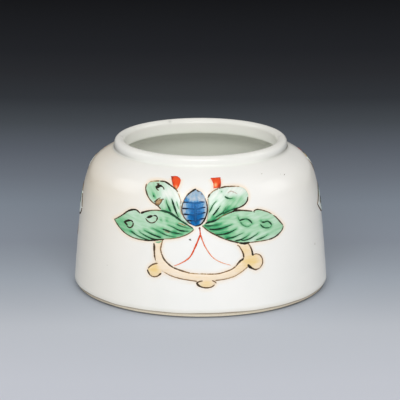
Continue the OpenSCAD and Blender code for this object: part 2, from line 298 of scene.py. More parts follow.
@dataclass(frozen=True)
class ClearGlaze(Finish):
    """Clear feldspar glaze over white porcelain: milky white, glossy, not quite even.

    The eye sees soft waves in the gloss, a grey-green tint where the glaze pools, in the crease
    under the lip also painted shade, a cream halo round the enamels, warm staining, grey-brown blots
    on the lip, painted shade in the crease at the pot's sides and a few iron specks.
    """

    name: str = "porcelain_under_clear_glaze"
    white: str = "F8F7F3"
    cool: str = "F4F4F0"
    pooled: str = "E6EEDC"
    halo: str = "F9E4C8"
    stain: str = "E4D6BC"
    # The grime colour darkens grey-brown blots on the lip and is also painted shade in the crease under the
    # lip at the pot's sides.
    grime: str = "85827A"
    iron: str = "8F7F68"
    colour_span: Pair = (0.35, 0.65)
    cloud_mm: float = 16.0
    cloud_detail: float = 3.0
    wave_mm: float = 5.0
    wave_detail: float = 1.5
    speck_mm: float = 7.0
    speck_span: Pair = (0.72, 1.0)
    speck_sizes: Pair = (0.0, 0.03)
    bump_by: float = 0.25
    bump_mm: float = 0.08
    gloss_span: Pair = (0.3, 0.7)
    roughness: Pair = (0.16, 0.26)
    ior: float = 1.5

    def lay_out(self, tree: Tree) -> None:
        """Lay out the nodes; they read the point values "stain", "pool", "halo" and "grime".

        Args:
            tree: the material's empty node tree.
        """
        place = object_place(tree)
        clouds = noise(tree, place, self.cloud_mm * MM, self.cloud_detail)
        colour = ramp(tree, clouds, tuple(zip(self.colour_span, (self.cool, self.white))))
        colour = tint(tree, colour, {
            "stain": self.stain, "pool": self.pooled, "halo": self.halo, "grime": self.grime})
        cells = add(tree, "ShaderNodeTexVoronoi", inputs={
            "Vector": place, "Scale": 1 / (self.speck_mm * MM)})
        size = remap(tree, cells.outputs["Color"], self.speck_span, self.speck_sizes)
        speck = combine(tree, "LESS_THAN", cells.outputs["Distance"], size)
        waves = noise(tree, place, self.wave_mm * MM, self.wave_detail)
        surface(tree, Base_Color=mix(tree, speck, colour, self.iron),
                Roughness=remap(tree, clouds, self.gloss_span, self.roughness), IOR=self.ior,
                Normal=bump(tree, waves, self.bump_by, self.bump_mm))


@dataclass(frozen=True)
class WashedEnamel(Finish):
    """Translucent lead enamel, floated on with a loaded brush and fired over the glaze.

    The eye sees a glassy raised coat, deep in colour where it pooled and pale where the brush
    ran dry, with streaks along the brush's way.
    """

    stops: Stops
    streak_mm: float = 0.9
    streak_by: float = 0.14
    streak_span: Pair = (0.25, 0.75)
    stretch: float = 0.22
    pit_mm: float = 0.625
    detail: float = 3.0
    bump_by: float = 0.2
    bump_mm: float = 0.03
    roughness: float = 0.16
    shine: float = 0.3

    def lay_out(self, tree: Tree) -> None:
        """Lay out the nodes; they read the point values "wash" and "brush" (in mm).

        Args:
            tree: the material's empty node tree.
        """
        way = add(tree, "ShaderNodeAttribute", {"attribute_name": "brush"}).outputs["Vector"]
        drawn = stretched(tree, way, (self.stretch, 1.0, 1.0))
        streaks = noise(tree, drawn, self.streak_mm, self.detail)
        swing = remap(tree, streaks, self.streak_span, (-self.streak_by, self.streak_by))
        amount = combine(tree, "ADD", point_value(tree, "wash"), swing)
        pits = noise(tree, way, self.pit_mm, self.detail)
        surface(tree, Base_Color=ramp(tree, amount, self.stops), Roughness=self.roughness,
                Specular_IOR_Level=self.shine, Normal=bump(tree, pits, self.bump_by, self.bump_mm))


@dataclass(frozen=True)
class BrushLine(Finish):
    """Metal-oxide line pigment, drawn with a pointed brush: thin and brown, or loaded and dark."""

    stops: Stops
    grain_mm: float = 0.5
    grain_by: float = 0.12
    grain_span: Pair = (0.3, 0.7)
    detail: float = 2.0
    roughness: float = 0.5
    shine: float = 0.12

    def lay_out(self, tree: Tree) -> None:
        """Lay out the nodes; the point value "ink" is the load of the brush.

        Args:
            tree: the material's empty node tree.
        """
        grain = noise(tree, object_place(tree), self.grain_mm * MM, self.detail)
        swing = remap(tree, grain, self.grain_span, (-self.grain_by, self.grain_by))
        load = combine(tree, "ADD", point_value(tree, "ink"), swing)
        surface(tree, Base_Color=ramp(tree, load, self.stops), Roughness=self.roughness,
                Specular_IOR_Level=self.shine)


@dataclass(frozen=True)
class SweepPaper(Finish):
    """Matt studio paper, graduated to dark towards the back, and painted lighter just in front of the pot.
    """

    name: str = "graduated_studio_paper"
    # The stop at 0.13 lies just in front of the pot and is lifted and kept neutral: painted bounce light
    # from the white pot over the shade near its foot.
    stops: Stops = (
        (0.0, "D5D9E3"), (0.06, "D4D8E2"), (0.13, "CCD1DA"), (0.2, "B3BCC8"), (0.26, "98A0AD"),
        (0.33, "8E98A5"), (0.39, "7B838F"), (0.45, "69707B"), (0.52, "52585F"), (0.59, "3D4147"),
        (0.67, "34363B"), (0.75, "2C2E33"), (1.0, "1D1E21"))
    front_mm: float = -150.0
    back_mm: float = 600.0
    curve_per_m: float = 0.5
    roughness: float = 0.9
    shine: float = 0.0

    def lay_out(self, tree: Tree) -> None:
        """Lay out the nodes; the paper darkens from front to back, and less so towards the sides.

        Args:
            tree: the material's empty node tree.
        """
        part = add(tree, "ShaderNodeSeparateXYZ", inputs={"Vector": object_place(tree)}).outputs
        aside = combine(tree, "MULTIPLY", part["X"], part["X"])
        back = combine(tree, "MULTIPLY_ADD", aside, -self.curve_per_m, part["Y"])
        amount = remap(tree, back, (self.front_mm * MM, self.back_mm * MM))
        surface(tree, Base_Color=ramp(tree, amount, self.stops), Roughness=self.roughness,
                Specular_IOR_Level=self.shine)


def place_piece(piece: Piece, slot: Slot, *nodes: str) -> Piece:
    """Fix a piece to the pot and say what it stands for.

    Args:
        piece: the piece, in place.
        slot: its material slot; it is not used.
        nodes: the CAD nodes that it replaces.

    Returns:
        The piece.
    """
    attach(piece, BODY)
    if nodes:
        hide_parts(*nodes)
    stands_for = ", ".join(nodes) or "no node"
    LOG.info("piece %s: %d points, for %s", piece.name, len(piece.data.vertices), stands_for)
    return piece


def mesh_piece(
    name: str,
    points: np.ndarray,
    faces: Sequence[Sequence[int]],
    materials: Sequence[Material],
    indices: Sequence[int] = (),
    values: dict[str, np.ndarray] | None = None,
) -> Piece:
    """Make a smooth mesh object with point values.

    Args:
        name: the object's name.
        points: n by 3 places in millimetres.
        faces: point numbers of each face.
        materials: the material slots' materials.
        indices: the material index of each face, or nothing for all 0.
        values: name to n numbers, or to n by 3 numbers.

    Returns:
        The object, linked to the scene.
    """
    mesh = bpy.data.meshes.new(name)
    mesh.from_pydata((np.asarray(points) * MM).tolist(), [], [tuple(f) for f in faces])
    for material in materials:
        mesh.materials.append(material)
    if len(indices):
        mesh.polygons.foreach_set("material_index", np.asarray(indices, np.int32))
    for key, numbers in (values or {}).items():
        flat = np.asarray(numbers, np.float32)
        kind, slot = ("FLOAT", "value") if flat.ndim == 1 else ("FLOAT_VECTOR", "vector")
        mesh.attributes.new(key, kind, "POINT").data.foreach_set(slot, flat.ravel())
    turner = bmesh.new()
    turner.from_mesh(mesh)
    bmesh.ops.recalc_face_normals(turner, faces=turner.faces)
    turner.to_mesh(mesh)
    turner.free()
    mesh.polygons.foreach_set("use_smooth", np.ones(len(mesh.polygons), bool))
    mesh.update()
    piece = bpy.data.objects.new(name, mesh)
    bpy.context.scene.collection.objects.link(piece)
    return piece


@dataclass(frozen=True)
class Skin:
    """Points of a turned surface, and a 1 for each that lines the inside of the pot."""

    points: np.ndarray
    hollow: np.ndarray

    @property
    def angle(self) -> np.ndarray:
        """Angle of each point round the pot: 0 at the front, positive to the right."""
        return np.arctan2(self.points[:, 0], -self.points[:, 1])

    @property
    def radius(self) -> np.ndarray:
        """Distance of each point from the axis."""
        return np.hypot(self.points[:, 0], self.points[:, 1])

    @property
    def height(self) -> np.ndarray:
        """Height of each point above the table."""
        return self.points[:, 2]

    @property
    def aside(self) -> np.ndarray:
        """How far each point lies to the left or right: 0 at the front, 1 at the side."""
        return (self.points[:, 0] / np.maximum(self.radius, 1)) ** 2


@dataclass(frozen=True)
class FootMarks:
    """Kiln flush and grime on the bare foot, in millimetres and shares of the full tint.

    Both reach higher at the pot's sides, by the second number of their heights: that is painted shade, and
    the dark line on the standing edge is painted contact shadow as well as grime.
    """

    flush_and_shade_h: Pair = (0.4, 0.45)
    flush_and_shade_by: float = 0.85
    recess_flush: float = 0.15
    grime_and_shade_h: Pair = (0.45, 0.6)
    grime_and_shade_soft: float = 0.15
    grime_and_shade_in: float = 1.6
    grime_and_shade_by: float = 0.9

    def values(self, pot: "Pot", skin: Skin) -> dict[str, np.ndarray]:
        """Find how strong the flush under the glaze and the grime and painted contact shadow on the
        standing edge are.

        Args:
            pot: the pot.
            skin: points of its body.

        Returns:
            Name of each tint to a share for each point.
        """
        # Both marks reach higher at the pot's sides as painted shade; the low dark line on the standing
        # edge is painted contact shadow as well as grime.
        near = bell(skin.height - pot.bare_h, self.flush_and_shade_h[0] + self.flush_and_shade_h[1] * skin.aside)
        low = unit((self.grime_and_shade_h[0] + self.grime_and_shade_h[1] * skin.aside - skin.height) / self.grime_and_shade_soft)
        return {
            "flush": np.where(skin.radius > pot.foot_in, near * self.flush_and_shade_by, self.recess_flush),
            "grime": low * np.clip(skin.radius - pot.foot_out + self.grime_and_shade_in, 0, self.grime_and_shade_by),
        }


@dataclass(frozen=True)
class GlazeMarks:
    """Pooling, staining and grime on the glaze, in millimetres and shares of the full tint.

    The wall takes a warm tint most at its left and a little at its right, more with height, and less again
    at its collar.
    Each blot is a place (x, y, z), a size and a strength. The crease under the lip is darkened at the pot's
    sides as painted shade.
    """

    crease_up: float = 0.5
    crease_w: float = 0.7
    crease_in: float = 0.3
    crease_pool_and_shade: float = 0.2
    crease_grime: float = 0.8
    lip_pool: float = 0.08
    lip_dull: float = 0.05
    lip_clear: float = 0.5
    deep_from: float = 1.0
    deep_h: float = 4.0
    deep_pool: Pair = (0.1, 0.35)
    foot_w: float = 0.3
    foot_pool: float = 0.12
    edge_w: float = 0.16
    edge_stain: float = 0.6
    left_turn: float = 0.1
    left_power: float = 1.2
    right_share: float = 0.3
    side_tint_h: float = 40.0
    side_tint_by: Pair = (0.35, 0.42)
    collar_z: float = 39.0
    collar_h: float = 7.0
    collar_by: Pair = (0.85, 0.7)
    blots: tuple[tuple[float, float, float, float, float], ...] = (
        (-10.9, 24.6, 51, 0.7, 0.34), (-27.4, 1, 50.9, 1.3, 0.22), (27.4, 1, 50.9, 1.2, 0.18))

    def values(self, pot: "Pot", skin: Skin) -> dict[str, np.ndarray]:
        """Find how strong the pooling, the staining, the grime and the painted shade in the crease are.

        Args:
            pot: the pot.
            skin: points of its glaze.

        Returns:
            Name of each tint to a share for each point.
        """
        angle, radius, height = skin.angle, skin.radius, skin.height
        lip = unit(height - pot.total_h + pot.lip_h)
        # The crease tint is glaze pooled there, strengthened as painted shade.
        crease = bell(height - pot.wall_d[1] - self.crease_up, self.crease_w)
        crease = crease * (radius > pot.lip_d / 2 - self.crease_in)
        back = unit(-np.cos(angle)) ** 2
        deep = unit((pot.total_h - self.deep_from - height) / self.deep_h) * skin.hollow
        deep = deep * (self.deep_pool[0] + self.deep_pool[1] * back)
        foot = self.foot_pool * bell(height - pot.bare_h, self.foot_w) * pot.at_foot(skin)
        edge = self.edge_stain * bell(height - pot.bare_h, self.edge_w) * pot.at_foot(skin)
        # A warm tint over the outer wall: strongest at the left, a little at the right, rising with height
        # and less at the collar.
        left = unit(-np.sin(angle + self.left_turn)) ** self.left_power
        sides = left + self.right_share * unit(np.sin(angle)) ** 2
        rise = self.side_tint_by[0] + self.side_tint_by[1] * unit(height / self.side_tint_h) ** 2
        clean = self.collar_by[0] - self.collar_by[1] * unit(sides) ** 4
        collar = 1 - clean * unit((height - self.collar_z) / self.collar_h)
        wall = (1 - skin.hollow) * (radius > pot.lip_d / 2 + self.lip_clear)
        # The crease under the lip is darkened at the pot's sides: painted shade. The blots are grey-brown
        # marks on the lip.
        grime = np.maximum(self.crease_grime * crease ** 2 * np.sin(angle) ** 4, self.lip_dull * lip)
        for *place, size, strength in self.blots:
            away = np.linalg.norm(skin.points - np.array(place), axis=1)
            grime = np.maximum(grime, strength * bell(away, size))
        return {
            "pool": np.max([self.lip_pool * lip, self.crease_pool_and_shade * crease, deep, foot], axis=0),
            "stain": np.max([sides * rise * collar * wall, self.lip_dull * lip, edge], axis=0),
            "grime": grime,
        }


@dataclass
class Pot:
    """The pot's shape: its section, how it is thrown, and the pieces that are turned.

    The foot's edges are steps (across, up) from the corners of its ring, and foot_flat says where
    its standing face starts and ends, from the same corners. The rolls are steps from the edges of
    the glaze. The waver of the edge at the foot is a sum of waves (size, count, phase).
    """

    body_d: float = 88.0
    total_h: float = 51.5
    wall_lean: float = 4.4
    shoulder_lean: float = 63.0
    shoulder_hold: float = 0.9
    wall_t: float = 3.2
    floor_t: float = 4.0
    floor_r: float = 9.0
    lip_d: float = 59.5
    lip_t: float = 3.3
    lip_h: float = 3.5
    crease_r: float = 1.0
    mouth_edge_r: float = 1.0
    bare_h: float = 1.8
    foot_inset: float = 0.85
    foot_w: float = 5.5
    foot_edge_in: tuple[Point, ...] = ((-0.25, 0.35), (-0.02, 0.1))
    foot_edge_out: tuple[Point, ...] = ((-0.8, 0.14), (-0.35, 0.28), (-0.06, 0.42))
    foot_flat: Pair = (0.4, -1.2)
    band_zs: tuple[float, ...] = (0.6, 0.9, 1.2, 1.5, 1.7)
    band_flare: float = 1.3
    recess_h: float = 2.5
    recess_slope: float = 30.0
    recess_mid_r: float = 6.0
    base_mid_r: float = 5.0
    base_roll: tuple[Point, ...] = ((-0.05, -0.15), (-0.3, -0.31))
    base_roll_w: float = 0.8
    base_tint: float = 0.25
    base_pool_power: int = 6
    base_stain_power: int = 12
    glaze_t: float = 0.35
    glaze_roll: tuple[Point, ...] = ((-0.22, -0.02), (-0.08, 0.02), (-0.015, 0.14))
    edge_waver: float = 0.16
    edge_waves: Waves = ((1, 5, 1), (0.6, 11, 0), (0.4, 23, 2))
    waver_h: float = 2.5
    foot_reach: float = 3.0
    ring_depth: float = 0.035
    ring_pitch: Pair = (1.05, 0.61)
    ring_drift: float = 0.8
    fine_share: float = 0.6
    out_of_round: float = 0.06
    oval_turn: float = 0.7
    corner_turn: float = -1.1
    corner_share: float = 0.5
    true_r: float = 25.0
    segments: int = 384
    wall_steps: int = 84
    arc_steps: int = 14
    flat_steps: int = 8
    foot_steps: int = 6
    table_steps: int = 600
    search_steps: int = 2000
    hidden_skip: int = 4
    foot_marks: FootMarks = FootMarks()
    glaze_marks: GlazeMarks = GlazeMarks()

    def __post_init__(self) -> None:
        """Work out the section's fixed points and a table of the wall."""
        self.wall_a = np.array([self.body_d / 2, self.bare_h])
        swing = 1 - math.cos(math.radians(self.shoulder_lean))
        self.wall_d = np.array([self.lip_d / 2 + self.crease_r * swing, self.total_h - self.lip_h])
        up_a, up_d = self.up_along(self.wall_lean), self.up_along(self.shoulder_lean)
        across = self.wall_d - self.wall_a
        rise = (across[0] * up_d[1] - across[1] * up_d[0]) / (up_a[0] * up_d[1] - up_a[1] * up_d[0])
        self.wall_b = self.wall_a + rise * up_a
        self.wall_c = self.wall_d + self.shoulder_hold * (self.wall_b - self.wall_d)
        self.crease_c = self.wall_d + self.crease_r * self.out_from(self.shoulder_lean)
        lip_r = self.lip_t / 2
        self.lip_c = np.array([self.lip_d / 2 - lip_r, self.total_h - lip_r])
        self.floor_z = self.recess_h + self.floor_t
        self.foot_out = self.body_d / 2 - self.foot_inset
        self.foot_in = self.foot_out - self.foot_w
        self.recess_r = self.foot_in - self.recess_h * math.tan(math.radians(self.recess_slope))
        ts = np.linspace(0, 1, self.table_steps)
        self.table = np.array([self.wall_at(t, 0) for t in ts])
        self.table_normal = np.array([self.wall_at(t, 1) for t in ts]) - self.table

    @staticmethod
    def up_along(lean: float) -> np.ndarray:
        """Unit vector up a wall that leans inwards by so many degrees."""
        return np.array([-math.sin(math.radians(lean)), math.cos(math.radians(lean))])

    @staticmethod
    def out_from(lean: float) -> np.ndarray:
        """Unit vector straight out from a wall that leans inwards by so many degrees."""
        return np.array([math.cos(math.radians(lean)), math.sin(math.radians(lean))])

    @staticmethod
    def level(z: float, first: float, last: float, steps: int) -> list[np.ndarray]:
        """Points of a level stretch of the section, between two radii."""
        return [np.array([r, z]) for r in np.linspace(first, last, steps)]

    @staticmethod
    def stepped(corner: Sequence[float], steps: Sequence[Point]) -> list[np.ndarray]:
        """Points of the section at these steps from a corner."""
        return [np.asarray(corner) + np.array(step) for step in steps]

    def wall_at(self, t: float, off: float) -> np.ndarray:
        """Radius and height of the wall at t = 0 (foot) to 1 (lip), moved outwards by off.

        Args:
            t: place along the curve of the wall.
            off: distance straight out from it.

        Returns:
            Radius and height.
        """
        s = 1 - t
        p = (s ** 3 * self.wall_a + 3 * s * s * t * self.wall_b
             + 3 * s * t * t * self.wall_c + t ** 3 * self.wall_d)
        d = (s * s * (self.wall_b - self.wall_a) + 2 * s * t * (self.wall_c - self.wall_b)
             + t * t * (self.wall_d - self.wall_c))
        return p + off * np.array([d[1], -d[0]]) / np.linalg.norm(d)

    def arc(self, centre: np.ndarray, radius: float, first: float, last: float) -> list[np.ndarray]:
        """Points of an arc of the section, between two angles in degrees."""
        return [centre + radius * self.out_from(a) for a in np.linspace(first, last, self.arc_steps)]

    def foot_line(self) -> list[np.ndarray]:
        """Section of the bare foot, from the axis in its recess out to the glaze's edge.

        Returns:
            Radius and height of each point.
        """
        recess = [np.array([0.0, self.recess_h])]
        recess += self.level(self.recess_h, self.recess_mid_r, self.recess_r, self.foot_steps)
        inner = self.stepped((self.foot_in, 0.0), self.foot_edge_in)
        outer = self.stepped((self.foot_out, 0.0), self.foot_edge_out)
        flat = self.level(0.0, self.foot_in + self.foot_flat[0], self.foot_out + self.foot_flat[1],
                          self.foot_steps)
        flare = self.wall_at(0, -self.glaze_t)[0] - self.foot_out
        band = [np.array([self.foot_out + flare * (z / self.bare_h) ** self.band_flare, z])
                for z in self.band_zs]
        return recess + inner + flat + outer + band

    def outer_line(self, off: float) -> list[np.ndarray]:
        """Section of the outside from the glaze's edge up to the crest.

        Args:
            off: how far the section is moved outwards.

        Returns:
            Radius and height of each point.
        """
        wall = [self.wall_at(t, off) for t in np.linspace(0, 1, self.wall_steps)]
        crease = self.arc(self.crease_c, off - self.crease_r, self.shoulder_lean, 0)
        lip = self.arc(self.lip_c, self.lip_t / 2 + off, 0, 90)
        return wall + crease[1:] + lip

    def inner_line(self, sink: float) -> list[np.ndarray]:
        """Section of the inside from the crest down to the axis.

        Args:
            sink: how far the section is sunk into the wall.

        Returns:
            Radius and height of each point.
        """
        mouth_r = self.lip_d / 2 - self.lip_t
        under = self.wall_d - self.wall_t * self.out_from(self.shoulder_lean)
        edge_z = under[1] + (under[0] - mouth_r) / math.tan(math.radians(self.shoulder_lean))
        turn = math.tan(math.radians(self.shoulder_lean / 2))
        edge_c = np.array([mouth_r + self.mouth_edge_r, edge_z + self.mouth_edge_r * turn])
        ts = np.linspace(0, 1, self.search_steps)
        heights = np.array([self.wall_at(t, -self.wall_t - self.floor_r)[1] for t in ts])
        t_floor = float(np.interp(self.floor_z + self.floor_r, heights, ts))
        floor_c = self.wall_at(t_floor, -self.wall_t - self.floor_r)
        normal = self.wall_at(t_floor, 1) - self.wall_at(t_floor, 0)
        lean = math.degrees(math.atan2(normal[1], normal[0]))
        lip = self.arc(self.lip_c, self.lip_t / 2 - sink, 90, 180)
        edge = self.arc(edge_c, sink - self.mouth_edge_r, 0, self.shoulder_lean)
        wall_ts = np.linspace(1, t_floor, self.wall_steps // 2)
        wall = [self.wall_at(t, sink - self.wall_t) for t in wall_ts]
        floor = self.arc(floor_c, self.floor_r + sink, lean, -90)
        flat = self.level(self.floor_z - sink, floor[-1][0], 0, self.flat_steps)
        return lip + edge + wall + floor[1:] + flat[1:]

    def thrown(self, angle: np.ndarray, height: np.ndarray) -> np.ndarray:
        """How far the thrown wall lies outside its true circle; it is never more than 0.

        Args:
            angle: angles round the pot.
            height: heights above the table.

        Returns:
            One distance for each.
        """
        coarse = np.sin(height / self.ring_pitch[0] + self.ring_drift * np.sin(angle))
        fine = np.sin(height / self.ring_pitch[1] + angle)
        rings = coarse - 1 + self.fine_share * (fine - 1)
        oval = np.cos(2 * angle + self.oval_turn) - 1
        corners = np.cos(3 * angle + self.corner_turn) - 1
        return self.ring_depth * rings / 2 + self.out_of_round * (oval + self.corner_share * corners) / 3

    def turned(self, section: Sequence[np.ndarray], closed: bool) -> tuple[np.ndarray, list[list[int]]]:
        """Revolve a section about the axis.

        Args:
            section: radius and height of each point.
            closed: whether the last point joins the first.

        Returns:
            Points in millimetres and faces.
        """
        angles = np.linspace(0, 2 * math.pi, self.segments, endpoint=False)
        points: list[np.ndarray] = []
        rings: list[list[int]] = []
        count = 0
        for r, z in section:
            if r < ON_AXIS:
                points.append(np.array([[0.0, 0.0, z]]))
                rings.append([count])
                count += 1
                continue
            heights = np.full_like(angles, z)
            radius = r + self.thrown(angles, heights) * min(1.0, r / self.true_r)
            points.append(np.stack([radius * np.sin(angles), -radius * np.cos(angles), heights], 1))
            rings.append(list(range(count, count + self.segments)))
            count += self.segments
        faces: list[list[int]] = []
        pairs = list(zip(rings, rings[1:])) + ([(rings[-1], rings[0])] if closed else [])
        for low, high in pairs:
            for i in range(self.segments):
                j = (i + 1) % self.segments
                ring = [low[i % len(low)], low[j % len(low)], high[j % len(high)], high[i % len(high)]]
                face = list(dict.fromkeys(ring))
                if len(face) > 2:
                    faces.append(face)
        return np.concatenate(points), faces

    def spread(self, section: Sequence[np.ndarray], numbers: Sequence[float]) -> np.ndarray:
        """Give each point of a turned section the number of its place in the section."""
        counts = [1 if r < ON_AXIS else self.segments for r, _ in section]
        return np.repeat(np.asarray(numbers, float), counts)

    def at_foot(self, skin: Skin) -> np.ndarray:
        """Which points lie as far out as the foot of the wall."""
        return skin.radius > self.body_d / 2 - self.foot_reach

    def wrap(self, drawing: np.ndarray, height: np.ndarray, turn: float) -> np.ndarray:
        """Lay points of a front elevation on the wall.

        Args:
            drawing: n by 2 points, across and up.
            height: how far each point stands off the glaze.
            turn: turn round the pot in degrees.

        Returns:
            n by 3 points in millimetres.
        """
        across, up = drawing[:, 0], drawing[:, 1]
        radius = np.interp(up, self.table[:, 1], self.table[:, 0])
        out = np.interp(up, self.table[:, 1], self.table_normal[:, 0])
        rise = np.interp(up, self.table[:, 1], self.table_normal[:, 1])
        angle = np.arcsin(across / radius) + math.radians(turn)
        radius = radius + out * height + self.thrown(angle, up)
        return np.stack([radius * np.sin(angle), -radius * np.cos(angle), up + rise * height], 1)

    def build_body(self, paste: Material) -> Piece:
        """Build the thrown body, bare at the foot, and dress it.

        Args:
            paste: the bare paste's material.

        Returns:
            The piece.
        """
        section = self.foot_line() + self.outer_line(-self.glaze_t) + self.inner_line(self.glaze_t)[1:]
        points, faces = self.turned(section, closed=False)
        skin = Skin(points, np.zeros(len(points)))
        values = self.foot_marks.values(self, skin)
        piece = mesh_piece("thrown_body", points, faces, [paste], values=values)
        return place_piece(piece, Slot.PORCELAIN, "porcelain_body")

    def build_glaze(self, glaze: Material, painting: "Painting") -> Piece:
        """Build the glaze outside and inside as one coat and dress it.

        The side that lies on the body is out of sight and has fewer points.

        Args:
            glaze: the glaze's material.
            painting: the painting, for the halo round it.

        Returns:
            The piece.
        """
        outside = self.outer_line(0)
        outside = self.stepped(outside[0], self.glaze_roll) + outside[1:]
        shown = outside + self.inner_line(0)[1:]
        hidden = self.inner_line(self.glaze_t)[::-1] + self.outer_line(-self.glaze_t)[::-1][1:]
        section = shown + hidden[:-1:self.hidden_skip] + hidden[-1:]
        points, faces = self.turned(section, closed=True)
        lining = [float(len(outside) <= i < len(shown)) for i in range(len(section))]
        skin = Skin(points, self.spread(section, lining))
        values = self.glaze_marks.values(self, skin)
        values["halo"] = painting.halo(points) * (1 - skin.hollow)
        waver = sum(size * np.sin(count * skin.angle + phase) for size, count, phase in self.edge_waves)
        fade = unit(1 - (skin.height - self.bare_h) / self.waver_h) * self.at_foot(skin)
        wavered = points.copy()
        wavered[:, 2] += self.edge_waver * waver / 2 * fade
        piece = mesh_piece("glaze_coat", wavered, faces, [glaze], values=values)
        return place_piece(piece, Slot.GLAZE, "outer_glaze", "inner_glaze")

    def build_base(self, glaze: Material) -> Piece:
        """Build the glazed recess inside the foot and dress it.

        Args:
            glaze: the glaze's material.

        Returns:
            The piece.
        """
        low, high = self.recess_h - self.glaze_t, self.recess_h
        section = [np.array([0.0, high])]
        section += self.level(high, self.base_mid_r, self.recess_r, self.flat_steps)
        section += self.stepped((self.recess_r, high), self.base_roll)
        section += self.level(low, self.recess_r - self.base_roll_w, self.base_mid_r, self.flat_steps)
        section += [np.array([0.0, low])]
        points, faces = self.turned(section, closed=False)
        rim = np.hypot(points[:, 0], points[:, 1]) / self.recess_r
        values = {
            "pool": self.base_tint * rim ** self.base_pool_power,
            "stain": self.base_tint * rim ** self.base_stain_power,
            "halo": np.zeros(len(points)),
            "grime": np.zeros(len(points)),
        }
        piece = mesh_piece("base_glaze_coat", points, faces, [glaze], values=values)
        return place_piece(piece, Slot.GLAZE, "base_glaze")


def along(points: Sequence[Point], closed: bool, step: float) -> np.ndarray:
    """Sample a Catmull-Rom curve through drawn points; a point given twice in a row is a corner.

    Args:
        points: the drawn points, across and up.
        closed: whether the line ends where it starts.
        step: the spacing of the samples.

    Returns:
        n by 2 points; a closed line's last point isn't its first again.
    """
    p = np.asarray(points, float)
    p = p if closed else np.concatenate([p[:1], p, p[-1:]])
    n = len(p)
    spans = range(n) if closed else range(1, n - 2)
    out: list[np.ndarray] = []
    for i in spans:
        a, b, c, d = p[(i - 1) % n], p[i], p[(i + 1) % n], p[(i + 2) % n]
        length = np.linalg.norm(c - b)
        if length == 0:
            continue
        for t in np.linspace(0, 1, max(2, math.ceil(length / step)) + 1)[:-1]:
            bend = (2 * a - 5 * b + 4 * c - d) + t * (3 * (b - c) + d - a)
            out.append(b + t / 2 * ((c - a) + t * bend))
    if not closed:
        out.append(p[-1])
    return np.array(out)


def inside(outline: np.ndarray, points: np.ndarray) -> np.ndarray:
    """Tell which points lie inside a closed outline.

    Args:
        outline: n by 2 corners.
        points: m by 2 points.

    Returns:
        m true or false values.
    """
    x, y = points[:, 0], points[:, 1]
    hit = np.zeros(len(points), bool)
    for (x0, y0), (x1, y1) in zip(outline, np.roll(outline, -1, 0)):
        if y0 == y1:
            continue
        cross = (y0 > y) != (y1 > y)
        hit ^= cross & (x < x0 + (y - y0) * (x1 - x0) / (y1 - y0))
    return hit


def tree_of(points: np.ndarray) -> KDTree:
    """Make a search tree.

    Args:
        points: n by 2 points.

    Returns:
        The tree, with the points at a height of 0.
    """
    tree = KDTree(len(points))
    for i, (x, y) in enumerate(points):
        tree.insert((x, y, 0.0), i)
    tree.balance()
    return tree


def nearest(tree: KDTree, points: np.ndarray) -> np.ndarray:
    """Distance from each flat point to the nearest one in a search tree."""
    return np.array([tree.find((x, y, 0.0))[2] for x, y in points])


@dataclass(frozen=True)
class Field:
    """One field of enamel: its outlines, its wash, the way of its brush in degrees and its rim.

    The wash starts from base, and each dab (across, up, radius, value) pulls it to its value.
    The rim is what the wash gains along the field's edge.
    """

    name: str
    slot: Slot
    outlines: tuple[tuple[Point, ...], ...]
    base: float
    dabs: tuple[Dab, ...] = ()
    way: float = 0.0
    rim: float = 0.0
    rim_w: float = 0.45
    base_weight: float = 0.3

    def wash(self, points: np.ndarray, depth: np.ndarray) -> np.ndarray:
        """Amount of enamel at points of the field.

        Args:
            points: n by 2 points.
            depth: distance of each from the field's edge.

        Returns:
            n amounts, about 0 to 1.
        """
        weight = np.full(len(points), self.base_weight)
        total = self.base * weight
        for x, y, radius, value in self.dabs:
            near = bell(np.hypot(points[:, 0] - x, points[:, 1] - y), radius)
            weight = weight + near
            total = total + near * value
        return total / weight + self.rim * bell(depth, self.rim_w)


@dataclass(frozen=True)
class Stroke:
    """One brush stroke: its points, and its width and load at even steps along it."""

    points: tuple[Point, ...]
    width: tuple[float, ...]
    ink: tuple[float, ...]
    pigment: Pigment = Pigment.OUTLINE


@dataclass(frozen=True)
class Butterfly:
    """One painted butterfly: its side, its turn in degrees and what its painter did otherwise.

    The left and right clubs are drawn at a share of the front ones' size, the glow is the strength
    of the cream halo, and the wash fades out at each place in faded (field, across, up, radius).
    """

    side: str
    turn: float
    clubs: Pair = (1.0, 1.0)
    glow: float = 0.75
    faded: tuple[tuple[str, float, float, float], ...] = ()


# Where the clubs of the antennae start, and where a smaller one stays in place.
LEFT_CLUB_ROOT = (-7.8, 42.4)
RIGHT_CLUB_ROOT = (4.2, 42.8)

LEFT_FOREWING = Field("left_forewing", Slot.GREEN, ((
    (-16.9, 43.7), (-14.7, 44.4), (-12.3, 44.4), (-10.4, 43.8), (-8.6, 42.7), (-7.4, 41.2), (-6.5, 39.2),
    (-5, 37), (-4, 34), (-3.6, 31.6), (-3.6, 31.6), (-8, 33), (-12.2, 35), (-13.1, 36), (-14.6, 37.2),
    (-16.3, 38.2), (-17.5, 39.9), (-18.1, 41.9)),), 0.3, (
    (-16, 41.2, 1.4, 0.7), (-15.2, 39.8, 1, 0.62), (-17, 41.3, 0.8, 0.48), (-13.2, 41.4, 0.9, 0.3),
    (-12.2, 40.5, 1, 0.02), (-11.5, 42.6, 0.9, 0.36), (-10, 41.3, 1.7, -0.04), (-8.5, 40, 1.4, -0.05),
    (-11.2, 37.6, 1, 0.5), (-9.5, 36.4, 0.8, 0.62), (-10.8, 35.9, 0.9, 0.84), (-8.4, 37.6, 0.7, 0.36),
    (-6.8, 36.5, 0.8, 0.18), (-12.3, 36.5, 0.9, 0.6), (-14.2, 40.5, 1, 0.5), (-14, 43.6, 1, 0.48),
    (-7, 38.5, 0.9, -0.05), (-7.2, 34.6, 0.8, 0.58)), 118)

